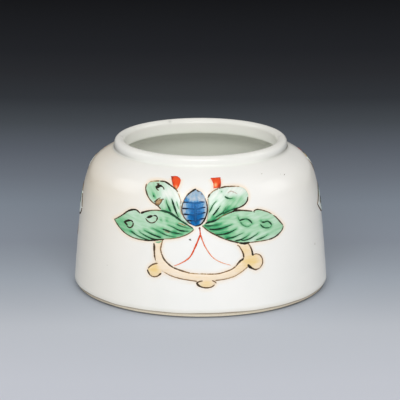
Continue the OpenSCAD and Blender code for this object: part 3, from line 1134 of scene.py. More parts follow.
RIGHT_FOREWING = Field("right_forewing", Slot.GREEN, ((
    (2.3, 40), (2.3, 40), (3.2, 41.2), (4.8, 42.4), (7, 43), (9.6, 43.2), (12.2, 43), (14.3, 42.2),
    (15.5, 40.6), (15.6, 39), (14.9, 37.6), (13.3, 36.6), (11.6, 36.2), (10.6, 35.2), (6, 33),
    (1.9, 31.6), (1.9, 31.6), (2.3, 34), (2.6, 37)),), 0.3, (
    (4.5, 41, 1.8, 0.06), (8, 41, 1.5, 0.12), (9.5, 42.3, 1.2, -0.02), (12.3, 42, 1.4, -0.06),
    (14, 41.4, 1, 0.12), (14.5, 40, 0.8, 0.34), (11.4, 38.3, 1.5, 0.66), (13.3, 38.7, 1.1, 0.66),
    (8.8, 38.3, 1.2, 0.54), (7, 38.7, 0.8, 0.26), (4.2, 38.6, 1.1, 0.14), (3.4, 36.8, 0.9, 0.45),
    (8.4, 36, 1.1, 0.92), (10.3, 36.7, 0.9, 0.74), (5.8, 34.6, 0.9, 0.7), (4, 33.3, 0.9, 1.05),
    (3, 34, 0.7, 0.6), (2.4, 32.4, 0.7, 0.95), (5.6, 37.8, 0.7, 0.2), (7.4, 34.6, 0.8, 0.72),
    (6.7, 36, 0.6, 0.5)), 45)

LEFT_HINDWING = Field("left_hindwing", Slot.GREEN, ((
    (-28.8, 30.2), (-28.8, 30.2), (-26.2, 32.2), (-24.3, 33.7), (-22.6, 34.6), (-21.2, 34.6), (-20, 33.8),
    (-20, 33.8), (-18, 34.7), (-15.8, 35.3), (-13.5, 35.5), (-11, 35.2), (-8.6, 34.1), (-6, 32.4),
    (-3.6, 31), (-2.2, 29.9), (-2.2, 29.9), (-4.4, 28.3), (-7, 27.2), (-10, 26.5), (-13.5, 26), (-17, 25.3),
    (-20, 25.2), (-22.8, 25.5), (-25.4, 26.5), (-27.4, 28.3)),), 0.5, (
    (-26.2, 29.2, 1.8, 0.85), (-24.4, 27.4, 1.3, 0.78), (-25, 31.5, 1, 0.58), (-20.5, 31.3, 2.5, 0.42),
    (-19.3, 33, 1.5, 0.42), (-14, 34.2, 1.3, 0.38), (-12.3, 31.5, 1.8, 0.46), (-9.2, 32.4, 1.5, 0.6),
    (-13.6, 28.6, 1, 0.72), (-13.2, 29.7, 1, 0.66), (-10.5, 28.1, 0.7, 0.5), (-8.5, 27.5, 1, 0.72),
    (-8.6, 28.8, 0.7, 0.9), (-6.2, 28.8, 1, 0.66), (-7.4, 30.6, 0.8, 0.66), (-10.5, 30.2, 0.9, 0.5),
    (-4.8, 30, 0.9, 0.58), (-17, 28.2, 1, 0.55), (-22.5, 33.6, 1.2, 0.32), (-21, 25.6, 1.2, 0.36),
    (-23.4, 29.7, 0.7, 0.76), (-16, 32.3, 0.8, 0.34)), 168)

RIGHT_HINDWING = Field("right_hindwing", Slot.GREEN, ((
    (0.4, 31.2), (0.4, 31.2), (1.8, 31.9), (3.6, 32.3), (5.2, 33), (7, 34.1), (9, 34.9), (11, 35.5),
    (13, 35.6), (15, 35.3), (17.2, 34.8), (17.2, 34.8), (18.8, 35.2), (20.6, 34.7), (22.4, 33.8),
    (24.2, 32.5), (25.8, 30.7), (27.4, 28.6), (27.2, 27.3), (26, 26), (24.2, 25.1), (21.6, 24.7),
    (18.5, 24.7), (15, 24.6), (12.2, 25), (9.6, 26), (6.5, 27.3), (3.4, 29)),), 0.5, (
    (2.2, 31, 1, 0.8), (5.2, 30.6, 1.2, 0.92), (4.6, 29, 1.2, 0.74), (8.7, 27.6, 1, 0.9),
    (7.5, 29.3, 1.1, 0.84), (7.3, 30.9, 0.9, 0.74), (10.5, 28.2, 0.9, 0.74), (7.3, 32.7, 1.2, 0.66),
    (10, 33.5, 1.5, 0.53), (11, 31.6, 1.2, 0.48), (13, 29, 2, 0.4), (13, 27, 0.7, 0.3),
    (13.5, 34, 1.5, 0.42), (17.6, 33, 2, 0.42), (18.3, 31, 1.1, 0.56), (21, 27.3, 2, 0.4),
    (25.2, 28.6, 1.3, 0.56), (24, 27.1, 1.2, 0.52), (24.8, 30.6, 1.2, 0.36), (23, 32.2, 1.3, 0.44),
    (17, 25.5, 1.2, 0.2), (14.7, 31.5, 0.8, 0.62), (21.7, 29.8, 0.8, 0.78)), 8)

ABDOMEN = Field("abdomen", Slot.BLUE, ((
    (-1.7, 42.6), (-1.7, 42.6), (0.4, 41.6), (1.9, 39), (2.1, 35.6), (0.8, 32.3), (-1.8, 31), (-4.3, 32.5),
    (-6, 35), (-6, 38.2), (-4.3, 41.2)),), 0.6, (
    (-1.6, 41.6, 1, 0.3), (-3, 40.6, 1.1, 0.1), (-0.3, 40.3, 1.1, 0.08), (-2.5, 39.5, 0.7, 0.2),
    (-4.6, 37.6, 0.8, 0.42), (-4.5, 35.7, 0.8, 0.46), (-4, 33.9, 0.7, 0.5), (0.4, 38, 0.9, 0.62),
    (0.3, 36.1, 0.9, 0.7), (0.2, 34.4, 0.9, 0.78), (-3.4, 37.6, 0.7, 0.64), (-2.9, 33.8, 0.7, 0.86),
    (-2, 37.5, 1.2, 0.78), (-1.8, 35.5, 1.3, 0.84), (-1.7, 33.6, 1.3, 0.9), (-1.8, 32, 1, 0.78),
    (-5.6, 37.6, 0.7, 0), (-5.7, 35.7, 0.7, 0), (-5.1, 34, 0.7, 0), (-4.1, 32.5, 0.5, 0.15),
    (1.3, 39.3, 0.8, 0), (1.7, 37.8, 0.8, 0), (1.75, 36.2, 0.75, 0), (1.6, 34.8, 0.7, 0),
    (1.2, 33.7, 0.7, 0), (0.7, 32.6, 0.6, 0.05), (0.2, 32, 0.4, 0.1)), 90)

ANTENNAE = Field("antennae", Slot.RED, (
    ((-9.8, 45.8), (-9.8, 45.8), (-7.8, 45.9), (-6.6, 45.1), (-7, 43.6), LEFT_CLUB_ROOT, LEFT_CLUB_ROOT,
     (-9, 43.2), (-9.5, 44.5)),
    ((3.2, 45.6), (3.2, 45.6), (6.5, 45.7), (6.5, 45.7), (6.7, 44), (6.3, 43), RIGHT_CLUB_ROOT,
     RIGHT_CLUB_ROOT, (4.1, 44.2))), 0.72, (
    (-8, 42.9, 0.45, 0), (4.8, 43.7, 0.45, 0), (6.4, 43.4, 0.5, 1.1), (-9.5, 45.4, 0.5, 1.05),
    (-9.2, 44, 0.4, 0.95)), 75, 0.15)

GARLAND = Field("garland", Slot.YELLOW, (
    ((15.2, 26), (15.2, 26), (15.8, 24.4), (16.8, 22.4), (17.2, 20.4), (16.9, 18.6), (15.3, 16.6),
     (12, 14.3), (8.5, 13.3), (4.8, 12.9), (-1, 12.8), (-5.5, 13.3), (-9, 14), (-11.8, 15), (-13.6, 16.2),
     (-14.9, 18.6), (-15.3, 21.5), (-15.4, 24.8), (-15.4, 26.8), (-15.4, 26.8), (-12.4, 27.2),
     (-12.4, 27.2), (-12.6, 25.4), (-13.1, 23.4), (-13, 21.6), (-11.8, 19.3), (-9.8, 17.5), (-7, 16.3),
     (-3.5, 15.4), (1, 15.1), (5, 15.1), (8.5, 15.8), (11, 17), (13, 18.8), (14.1, 20.1), (13.8, 21.8),
     (12.9, 23.5), (12.2, 24.4), (11.8, 26.2), (11.8, 26.2)),
    ((-13, 15), (-14.2, 13.7), (-15.8, 13.4), (-17.1, 14.2), (-17.5, 15.6), (-16.8, 16.9), (-15.3, 17.8),
     (-13.4, 17.4)),
    ((17, 20.2), (18.8, 20.6), (20.1, 19.4), (20.6, 17.6), (20, 16), (18.3, 15.4), (16.8, 16.1),
     (15.9, 17.5)),
    ((-0.8, 13.4), (4.3, 13.4), (4.9, 11.8), (3.6, 10.8), (1.8, 10.5), (0, 10.9), (-1.2, 12))), 0.35, (
    (-15.3, 15.6, 1.5, 0.82), (17.6, 18.4, 1.2, 0.8), (19.6, 17.6, 1, 0.5), (1.8, 11.9, 1.5, 0.68),
    (15.8, 18.3, 1.5, 0.8), (14.8, 22, 1.4, 0.58), (12.5, 16.6, 1.3, 0.5), (-8, 15.3, 1.6, 0.22),
    (2, 14.2, 1.6, 0.26), (-12.8, 18.3, 1.2, 0.25)), 0, 0.05)

FIELDS = (ABDOMEN, LEFT_HINDWING, RIGHT_HINDWING, LEFT_FOREWING, RIGHT_FOREWING, ANTENNAE, GARLAND)

BUTTERFLIES = (
    Butterfly("front", 0.0),
    Butterfly("right", 120.0, (0.75, 0.9), 0.2, (
        ("left_hindwing", -27.5, 29.5, 5), ("left_forewing", -17, 41, 2.5))),
    Butterfly("left", 240.0, (0.9, 0.75), 0.2, (
        ("right_hindwing", 26.5, 29, 5), ("right_forewing", 15, 40, 2.5))),
)

# Each line is its points, its widths and its loads.
OUTLINE_LINES = (
    # left forewing, its eyespot and its amber patch
    (((-16.8, 43.8), (-15.3, 44.1), (-13.6, 44.3)), (0.3, 0.4, 0.4), (0.08, 0.18, 0.35)),
    (((-13.4, 44.3), (-12, 44.3), (-10.8, 43.9), (-9.5, 43.2), (-8.2, 42.4), (-7.5, 41.6)),
     (0.4, 0.55, 0.5, 0.3), (0.6, 0.85, 0.75, 0.35)),
    (((-7.3, 41.2), (-6.7, 39.5), (-6.3, 38)), (0.3, 0.35, 0.25), (0.2, 0.1, 0.04)),
    (((-17.9, 43.2), (-18.15, 41.8), (-17.7, 40.2), (-16.8, 38.7), (-15.5, 37.6), (-14, 36.8),
      (-13.1, 35.9)), (0.35, 0.55, 0.45, 0.38, 0.45), (0.4, 0.65, 0.5, 0.5, 0.7)),
    (((-14.9, 42.5), (-14.1, 42.7), (-13.1, 43), (-12.4, 42.7)), (0.7, 1, 0.7, 0.3), (0.9, 1, 0.95, 0.8)),
    (((-14.5, 43.4), (-13.4, 43.5)), (0.3, 0.45, 0.25), (0.55, 0.7, 0.5)),
    (((-12.6, 42.9), (-12.1, 42.4), (-12, 41.9)), (0.45, 0.45, 0.2), (0.85, 0.75, 0.5)),
    (((-14.7, 42.5), (-14.2, 41.9), (-13.7, 41.6)), (0.7, 0.55, 0.25), (0.9, 0.8, 0.5)),
    (((-14.9, 37.5), (-14.2, 37.8), (-13.4, 38.4), (-12.7, 39.1)), (1, 1.6, 1.5, 0.8),
     (0.42, 0.22, 0.16, 0.34)),
    (((-15.3, 37.9), (-14.6, 38.5), (-13.9, 39.1), (-13.1, 39.5)), (0.35, 0.4, 0.35, 0.2),
     (0.75, 0.6, 0.45, 0.4)),
    (((-12.5, 39.3), (-12.8, 38.5), (-13.3, 37.7), (-14, 36.9)), (0.4, 0.35, 0.35, 0.4),
     (0.65, 0.5, 0.5, 0.75)),
    (((-15, 37.9), (-14.8, 37.3), (-14.2, 36.9)), (0.4, 0.55, 0.35), (0.8, 0.75, 0.6)),
    (((-12.4, 39.3), (-12, 39)), (0.35, 0.4, 0.2), (0.5, 0.45, 0.3)),
    # left hindwing, its eyespots and a rusty mark
    (((-28.8, 30.2), (-27.8, 30.8), (-26, 32.2), (-24.3, 33.7), (-22.8, 34.5), (-21.5, 34.75),
      (-20.7, 34.4), (-20, 33.8)), (0.3, 0.38, 0.5, 0.6, 0.6, 0.35), (0.5, 0.7, 0.75, 0.9, 0.95, 0.8)),
    (((-19.8, 33.9), (-18, 34.7), (-16, 35.3), (-14.2, 35.5), (-13.3, 35.5)), (0.8, 0.65, 0.4, 0.35, 0.4),
     (1, 0.85, 0.65, 0.5, 0.6)),
    (((-2.2, 29.9), (-3.2, 29), (-4.7, 28.1), (-7, 27.2), (-9.5, 26.6), (-12, 26.3)),
     (0.3, 0.35, 0.3, 0.25), (0.5, 0.5, 0.35, 0.25)),
    (((-12, 26.2), (-14.5, 25.8), (-17, 25.3), (-20, 25.2), (-22.5, 25.5), (-25, 26.4), (-27, 28),
      (-28.3, 29.5), (-28.8, 30.3)), (0.45, 0.6, 0.55, 0.4, 0.4, 0.45, 0.5, 0.4),
     (0.75, 0.95, 0.85, 0.5, 0.5, 0.6, 0.75, 0.7)),
    (((-25.5, 30), (-24.6, 30.5), (-23.6, 30.95), (-22.7, 30.9), (-22.3, 30.4)), (0.4, 0.7, 0.7, 0.6, 0.4),
     (1, 1, 1, 0.95, 0.85)),
    (((-25.4, 30), (-24.9, 29.9), (-24.4, 29.4), (-24.2, 29)), (0.5, 0.85, 0.75, 0.45), (1, 1, 1, 0.9)),
    (((-22.3, 30.5), (-22.3, 29.7), (-22.8, 28.9), (-23.6, 28.6), (-24.3, 28.9)), (0.45, 0.5, 0.5, 0.5),
     (0.85, 0.8, 0.8, 0.9)),
    (((-17.8, 32.7), (-17, 33), (-16.2, 33.4), (-15.6, 33.5)), (0.35, 0.8, 0.85, 0.4), (0.9, 1, 1, 0.85)),
    (((-15.6, 33.6), (-14.8, 33.7), (-14.2, 33.3)), (0.4, 0.5, 0.55), (0.8, 0.95, 1)),
    (((-14.2, 33.4), (-14.3, 32.6), (-14.7, 31.9)), (0.55, 0.5, 0.3), (1, 0.8, 0.55)),
    (((-14.7, 31.9), (-15.4, 31.4), (-16.4, 31.2), (-17.5, 31.7), (-18.1, 32.5)), (0.35, 0.42, 0.42, 0.35),
     (0.75, 0.7, 0.7, 0.65)),
    (((-12, 28.9), (-11, 28.7), (-10, 28.45)), (0.12, 0.22, 0.12), (0.2, 0.24, 0.2)),
    # right forewing and its eyespot
    (((2.3, 39.9), (2.7, 40.7), (3.2, 41.3)), (0.35, 0.6, 0.35), (0.5, 0.7, 0.45)),
    (((3.2, 41.3), (4.3, 42.1), (5.8, 42.7)), (0.3, 0.35, 0.35), (0.35, 0.3, 0.4)),
    (((5.9, 42.75), (8, 43.1), (10, 43.1), (11.4, 43.05), (12.8, 42.9)), (0.35, 0.5, 0.45, 0.35, 0.2),
     (0.5, 0.65, 0.55, 0.35, 0.1)),
    (((15.5, 39.6), (15.3, 38.4), (14.4, 37.3), (13, 36.6), (11.6, 36.2), (10.8, 35.7)),
     (0.4, 0.6, 0.5, 0.5, 0.65), (0.7, 0.9, 0.8, 0.85, 1)),
    (((2.3, 39.8), (2.45, 38), (2.5, 36), (2.2, 34), (1.8, 32.4)), (0.25, 0.2, 0.2, 0.2),
     (0.25, 0.03, 0.03, 0.05)),
    (((8.8, 41.2), (9.8, 41.7), (11, 41.3), (12, 40.7)), (0.3, 0.4, 0.35, 0.25), (0, 0.02, 0, 0)),
    # right hindwing
    (((5.2, 33.1), (7, 34.1), (9, 34.9), (10.4, 35.3)), (0.3, 0.3, 0.35, 0.5), (0.4, 0.35, 0.5, 0.8)),
    (((10.2, 35.3), (11.4, 35.6), (13, 35.6), (15, 35.3), (17, 34.9)), (0.6, 0.7, 0.5, 0.45, 0.45),
     (0.95, 0.95, 0.75, 0.7, 0.75)),
    (((17.7, 34.4), (17.5, 34.85), (18.2, 35.2), (19, 35.2), (20.5, 34.7), (22.2, 33.9), (23.5, 33.05)),
     (0.3, 0.45, 0.4, 0.38, 0.38, 0.3), (0.7, 0.75, 0.6, 0.5, 0.5, 0.4)),
    (((24.1, 32.5), (25, 31.7), (26.5, 29.8), (27.45, 28.5)), (0.3, 0.45, 0.45, 0.35),
     (0.5, 0.65, 0.7, 0.65)),
    (((27.45, 28.3), (27.2, 27.3), (26.2, 26.2), (24.5, 25.2), (22.4, 24.75)), (0.35, 0.5, 0.6, 0.55, 0.45),
     (0.65, 0.8, 0.85, 0.85, 0.7)),
    (((22.4, 24.75), (19, 24.7), (16.2, 24.75)), (0.4, 0.35, 0.4), (0.6, 0.4, 0.55)),
    (((16.3, 24.75), (14.4, 24.65), (12.6, 25)), (0.6, 0.85, 0.6), (0.9, 1, 0.9)),
    (((12.6, 25), (10, 25.8), (7.8, 26.6)), (0.55, 0.5, 0.4), (0.8, 0.7, 0.6)),
    (((7.8, 26.6), (5, 28), (2.5, 29.4), (0.5, 31.1)), (0.45, 0.5, 0.45, 0.3), (0.65, 0.65, 0.55, 0.5)),
    # abdomen, and marks beside it
    (((-1.5, 42.7), (-2.3, 42.3), (-3.3, 41.7), (-4.2, 41), (-4.7, 40.3)), (0.6, 0.6, 0.5, 0.55, 0.3),
     (1, 0.95, 0.75, 0.8, 0.6)),
    (((-4.9, 40.1), (-5.5, 39.3)), (0.25, 0.35, 0.25), (0.4, 0.5, 0.4)),
    (((-5.5, 39.2), (-6.1, 37.4), (-6.15, 35.8), (-5.6, 34.1), (-4.4, 32.6), (-3, 31.5)),
     (0.3, 0.4, 0.35, 0.4, 0.4), (0.45, 0.6, 0.6, 0.75, 0.75)),
    (((-1.4, 42.4), (-0.9, 42.1), (-0.4, 41.8)), (0.3, 0.4, 0.25), (0.6, 0.6, 0.4)),
    (((0.1, 41.4), (0.6, 40.9)), (0.25, 0.35, 0.2), (0.3, 0.4, 0.25)),
    (((1.4, 39.9), (1.8, 39), (2.2, 37), (2, 35), (1.2, 33), (0.2, 31.7), (-0.8, 31.2), (-1.9, 31)),
     (0.25, 0.4, 0.45, 0.5, 0.6, 0.5, 0.35), (0.3, 0.6, 0.75, 0.85, 0.95, 0.9, 0.7)),
    (((-6.6, 39.2), (-6.7, 37.2), (-6.4, 35.2), (-5.4, 33.4)), (0.25, 0.35, 0.35, 0.2),
     (0.02, 0.06, 0.08, 0.1)),
    (((-7.4, 31.9), (-6.2, 31.6), (-4.8, 31)), (0.25, 0.45, 0.2), (0.24, 0.2, 0.2)),
    # garland and its left, low and right knobs
    (((-15.5, 24.6), (-15.3, 23.8), (-15.3, 22), (-15.2, 20.4), (-14.9, 18.9)),
     (0.75, 0.8, 0.65, 0.55, 0.35), (0.78, 0.72, 0.62, 0.58, 0.45)),
    (((-14.1, 18.05), (-15.4, 17.7), (-16.6, 16.9), (-17.4, 16)), (0.3, 0.5, 0.5, 0.35),
     (0.4, 0.55, 0.55, 0.5)),
    (((-17.6, 15.6), (-17.4, 14.9), (-16.8, 13.9), (-15.8, 13.4), (-14.3, 13.7), (-13, 14.9)),
     (0.5, 0.6, 0.4, 0.4, 0.5, 0.55), (0.7, 0.75, 0.5, 0.45, 0.55, 0.75)),
    (((-12, 15.3), (-10, 14.3), (-7, 13.5), (-4, 13.05), (-1.2, 12.7)), (0.3, 0.38, 0.38, 0.36, 0.4),
     (0.3, 0.36, 0.36, 0.36, 0.42)),
    (((0.7, 12.9), (-0.6, 12.6), (-1.2, 12.1), (-0.9, 11.5), (0, 10.9), (1.8, 10.5), (3.5, 10.7),
      (4.6, 11.5)),
     (0.35, 0.5, 0.75, 0.6, 0.5, 0.5, 0.45, 0.4), (0.45, 0.6, 0.75, 0.7, 0.6, 0.55, 0.5, 0.4)),
    (((5.2, 11.9), (4.7, 12.5), (3.7, 13)), (0.25, 0.45, 0.35), (0.3, 0.5, 0.5)),
    (((4.8, 12.9), (8, 13.2), (11, 13.9), (13.5, 15.2), (15.6, 16.7)), (0.4, 0.35, 0.35, 0.3),
     (0.4, 0.25, 0.2, 0.25)),
    (((15.5, 17.6), (15.9, 17), (16.6, 16.3), (18.2, 15.45), (19.6, 15.8)), (0.6, 0.9, 0.6, 0.45, 0.4),
     (0.9, 1, 0.75, 0.5, 0.45)),
    (((19.6, 15.8), (20.5, 17.2), (20.4, 18.8), (19.6, 20.1), (18.4, 20.7), (17.6, 20.6)),
     (0.4, 0.45, 0.4, 0.35, 0.35), (0.45, 0.5, 0.45, 0.35, 0.4)),
    (((17.6, 20.6), (17.2, 20.6), (16.9, 22), (16.3, 23.5), (15.5, 24.7)), (0.8, 0.75, 0.5, 0.4, 0.35),
     (1, 0.9, 0.6, 0.5, 0.45)),
    (((-12.5, 26), (-13, 24), (-13.2, 22.8), (-12.9, 21.4)), (0.3, 0.4, 0.42, 0.45),
     (0.3, 0.35, 0.4, 0.45)),
    (((-12.9, 21.4), (-12, 19.5), (-10.5, 18), (-9, 17)), (0.45, 0.5, 0.5, 0.5), (0.5, 0.6, 0.6, 0.55)),
    (((-9, 17), (-6.5, 16.2), (-3.5, 15.4)), (0.5, 0.5, 0.4), (0.55, 0.48, 0.35)),
    (((-3.5, 15.4), (-1, 15.25), (2, 15.15)), (0.35, 0.35, 0.35), (0.22, 0.08, 0.2)),
    (((2, 15.15), (5, 15.1), (7, 15.4), (10, 16.3), (11.5, 17.2)), (0.35, 0.38, 0.38, 0.4),
     (0.3, 0.36, 0.4, 0.45)),
    (((11.5, 17.2), (13, 18.9), (13.7, 19.3), (14.2, 19.8)), (0.45, 0.5, 0.75, 0.6), (0.5, 0.6, 0.85, 0.8)),
    (((14.2, 19.9), (14, 21.3), (13.3, 22.8), (12.7, 23.8), (12, 24.3)), (0.6, 0.5, 0.42, 0.35, 0.25),
     (0.8, 0.6, 0.5, 0.4, 0.25)),
)

VEIN_LINES = (
    # left forewing
    (((-11.4, 39.2), (-11, 37.8), (-10.4, 36.6), (-9.8, 35.4)), (0.2, 0.4, 0.55, 0.6),
     (0.3, 0.55, 0.8, 0.9)),
    (((-9.5, 39.6), (-9, 38), (-8.4, 36.4), (-7.8, 34.9), (-7.2, 33.8)), (0.25, 0.7, 0.75, 0.5, 0.25),
     (0.5, 0.95, 1, 0.9, 0.7)),
    (((-7.9, 38.7), (-7.5, 37.4), (-7.2, 36.4)), (0.3, 0.38, 0.2), (0.1, 0.28, 0.1)),
    (((-15.5, 40.2), (-15.4, 39.8), (-15.2, 39.5)), (0.4, 0.65, 0.4), (0.6, 0.75, 0.55)),
    # left hindwing
    (((-13.5, 35.5), (-12, 35.4), (-10, 34.9), (-8, 33.7), (-6.2, 32.5)), (0.4, 0.75, 0.85, 0.8, 0.6),
     (0.8, 0.85, 0.85, 0.85, 0.85)),
    (((-6.4, 32.6), (-4, 31.2), (-2.4, 30.2)), (0.6, 0.5, 0.3), (0.85, 0.9, 0.8)),
    (((-22.9, 27.5), (-21.5, 26.7), (-20, 26.1), (-18.4, 25.7), (-17, 25.4)), (0.5, 0.5, 0.4, 0.45, 0.5),
     (0.9, 0.8, 0.65, 0.8, 0.9)),
    (((-20.3, 27.9), (-18.7, 27), (-17, 26.3), (-15.5, 25.95), (-14, 25.9)), (0.25, 0.4, 0.55, 0.6, 0.5),
     (0.4, 0.65, 0.85, 0.95, 0.9)),
    (((-18.6, 28.6), (-17, 27.9), (-15, 27.2), (-13, 26.7)), (0.25, 0.5, 0.65, 0.5), (0.35, 0.75, 0.95, 1)),
    (((-16, 29.6), (-14.4, 29), (-12.6, 28.2), (-11, 27.6), (-8.6, 27.2)), (0.25, 0.4, 0.5, 0.4, 0.3),
     (0.3, 0.5, 0.65, 0.55, 0.35)),
    (((-12.5, 29.6), (-11.4, 29.3), (-10, 28.9), (-8.5, 28.6), (-6, 28.3)), (0.5, 0.6, 0.45, 0.5, 0.25),
     (0.95, 1, 0.6, 0.85, 0.6)),
    (((-10.6, 31), (-9, 30.4), (-7.5, 29.7), (-6.3, 29.4), (-4, 29.3)), (0.25, 0.4, 0.5, 0.55, 0.25),
     (0.35, 0.55, 0.85, 1, 0.5)),
    (((-7.7, 31.4), (-6.2, 30.8), (-4.5, 30.4), (-3, 30.2)), (0.45, 0.4, 0.3, 0.2), (0.8, 0.6, 0.4, 0.3)),
    (((-13.1, 32.7), (-12.9, 32.3)), (0.35, 0.5, 0.3), (0.3, 0.4, 0.3)),
    (((-11.2, 32.8), (-11, 32.4)), (0.3, 0.4, 0.25), (0.15, 0.25, 0.15)),
    # right forewing
    (((7.8, 40.3), (8.6, 39.8), (9.6, 39.5), (10.6, 39.6)), (0.4, 0.6, 0.45, 0.25), (0.65, 0.7, 0.5, 0.3)),
    (((6.7, 41.9), (7, 41.5)), (0.35, 0.5, 0.35), (0.05, 0.12, 0.05)),
    (((5.2, 39), (4.2, 38), (3.4, 36.6), (2.8, 35.4)), (0.2, 0.4, 0.45, 0.35), (0.35, 0.65, 0.75, 0.7)),
    (((6.5, 37.5), (5.6, 36.4), (4.9, 35.5), (3.9, 34.4)), (0.25, 0.5, 0.7, 0.5), (0.5, 0.85, 0.9, 0.95)),
    (((7.6, 35.4), (6.2, 34.6), (4.8, 33.8)), (0.35, 0.5, 0.4), (0.8, 0.95, 0.85)),
    (((11.5, 36.4), (9.5, 35.8), (8.3, 35.3), (7.3, 34.8)), (0.5, 0.5, 0.45, 0.4), (0.9, 0.65, 0.75, 0.8)),
    (((9.1, 37.2), (8.2, 36.5), (7.3, 35.4)), (0.2, 0.4, 0.45), (0.15, 0.45, 0.65)),
    # right hindwing
    (((10.2, 31.2), (8.5, 30.6), (6.5, 30.1), (4.6, 29.9), (2.8, 30)), (0.25, 0.45, 0.55, 0.6, 0.45),
     (0.5, 0.75, 0.95, 1, 0.9)),
    (((11.8, 29.7), (10, 28.9), (8.4, 28.4), (6.8, 28.2), (4.8, 28.2)), (0.25, 0.5, 0.6, 0.5, 0.35),
     (0.5, 0.9, 1, 0.85, 0.75)),
    (((14, 28.2), (12.3, 27.6), (10.5, 27), (8.4, 26.75)), (0.2, 0.4, 0.55, 0.5), (0.3, 0.65, 0.9, 1)),
    (((16, 27.4), (14.5, 26.6), (13, 26), (11.3, 25.8)), (0.2, 0.4, 0.55, 0.45), (0.35, 0.7, 0.95, 0.9)),
    (((19, 27.6), (17.5, 26.7), (16, 26), (14.5, 25.7), (13.3, 25.8)), (0.2, 0.42, 0.5, 0.5, 0.35),
     (0.45, 0.8, 0.88, 0.9, 0.75)),
    (((22, 26.5), (20.5, 25.8), (18.2, 25.35)), (0.25, 0.5, 0.4), (0.45, 0.75, 0.7)),
    (((1.5, 31.9), (2.8, 32.3), (4.2, 32.6), (5.4, 33.1), (6.4, 33.7)), (0.5, 0.75, 0.7, 0.5, 0.3),
     (0.8, 1, 1, 0.9, 0.6)),
    (((1.2, 31.2), (2.8, 31.1), (4.6, 31.3), (6.6, 31.5)), (0.45, 0.45, 0.35, 0.2), (0.9, 0.75, 0.6, 0.35)),
    # smear of green on the garland, under the left hindwing
    (((-14.9, 25.1), (-13.8, 25.1), (-12.8, 25.6)), (0.3, 0.6, 0.3), (0, 0.05, 0)),
    # eyespots of the right hindwing
    (((12.1, 33.8), (12.4, 33), (12.8, 32.3)), (0.3, 0.35, 0.3), (0.2, 0.35, 0.6)),
    (((13, 31.8), (13.8, 30.8), (14.8, 30.2), (15.7, 30.1), (16.5, 30.5)), (0.35, 0.45, 0.4, 0.35, 0.3),
     (0.55, 0.45, 0.4, 0.35, 0.3)),
    (((12.6, 32.2), (13.4, 32.5), (14.4, 32.65), (15.4, 32.5), (16.4, 31.7), (16.9, 30.9)),
     (0.45, 0.55, 0.4, 0.45, 0.55, 0.4), (0.8, 0.9, 0.75, 0.8, 0.9, 0.85)),
    (((20, 31), (20.9, 30.8), (22, 30.95), (22.9, 30.3), (23.4, 29.5)), (0.6, 0.6, 0.45, 0.5, 0.55),
     (0.95, 0.9, 0.75, 0.85, 0.95)),
    (((19.6, 30.3), (20.4, 29.4), (21.2, 28.9), (22.6, 28.7)), (0.35, 0.5, 0.45, 0.45),
     (0.75, 0.85, 0.75, 0.85)),
    (((22.6, 28.7), (23.2, 29), (23.4, 29.5)), (0.3, 0.3, 0.25), (0.6, 0.4, 0.5)),
    (((19.7, 31.6), (20, 31.1)), (0.3, 0.35, 0.25), (0.3, 0.4, 0.4)),
)

STRIPE_LINES = (
    (((-2, 38.4), (-1.8, 36.5), (-1.7, 34), (-1.7, 31.8)), (0.2, 0.7, 0.9, 0.5), (0.1, 0.3, 0.45, 0.55)),
    (((-4.2, 38.5), (-2, 38.4), (0.8, 38.6)), (0.3, 0.55, 0.3), (0.2, 0.35, 0.2)),
    (((-4.4, 36.6), (-2, 36.5), (1, 36.9)), (0.3, 0.6, 0.3), (0.3, 0.42, 0.3)),
    (((-4.2, 34.7), (-2, 34.7), (1, 35.2)), (0.3, 0.65, 0.3), (0.35, 0.5, 0.35)),
    (((-3.2, 32.8), (-1.6, 32.8), (0.7, 33.3)), (0.3, 0.6, 0.3), (0.45, 0.6, 0.45)),
    (((-5.9, 38.65), (-4.6, 38.6), (-2.8, 38.7)), (0.5, 0.45, 0.15), (1, 0.8, 0.3)),
    (((-0.6, 38.9), (0.4, 38.8), (1.3, 38.7)), (0.15, 0.4, 0.35), (0.4, 0.7, 0.6)),
    (((-6.1, 36.65), (-4.6, 36.6), (-2.6, 36.65)), (0.5, 0.5, 0.15), (1, 0.9, 0.4)),
    (((-0.2, 36.95), (0.7, 37), (1.6, 37.1)), (0.15, 0.45, 0.4), (0.4, 0.8, 0.8)),
    (((-5.7, 34.85), (-4.4, 34.75), (-2.6, 34.7)), (0.6, 0.5, 0.15), (1, 0.95, 0.4)),
    (((-0.2, 35.2), (0.7, 35.3), (1.6, 35.5)), (0.15, 0.45, 0.45), (0.4, 0.9, 0.9)),
    (((-4.5, 32.9), (-3.2, 32.75), (-1.6, 32.75)), (0.5, 0.5, 0.15), (1, 0.9, 0.4)),
    (((-0.6, 33.3), (0.3, 33.45), (1.2, 33.6)), (0.15, 0.45, 0.5), (0.4, 0.85, 0.9)),
)

TENDRIL_LINES = (
    (((-0.45, 30.7), (-0.35, 30.3), (-0.25, 29.9)), (0.7, 1, 0.6), (1, 1, 0.98)),
    (((-0.3, 30.2), (-0.2, 29.2), (-0.1, 28.2)), (0.45, 0.45, 0.6), (0.92, 0.8, 0.75)),
    (((-0.1, 28.4), (-1, 26), (-2, 23.7), (-3, 21.6), (-4, 20.3), (-5.5, 19.2), (-7.3, 18.2), (-8.8, 17.6)),
     (0.55, 0.65, 0.55, 0.45, 0.3), (0.78, 0.75, 0.7, 0.55, 0.45)),
    (((-0.1, 28.4), (0.7, 26), (1.5, 24.2), (3, 21.8), (4.5, 20.2), (6.5, 19), (8.5, 18.2), (10, 17.7)),
     (0.5, 0.45, 0.4, 0.35, 0.25), (0.72, 0.5, 0.4, 0.38, 0.3)),
)

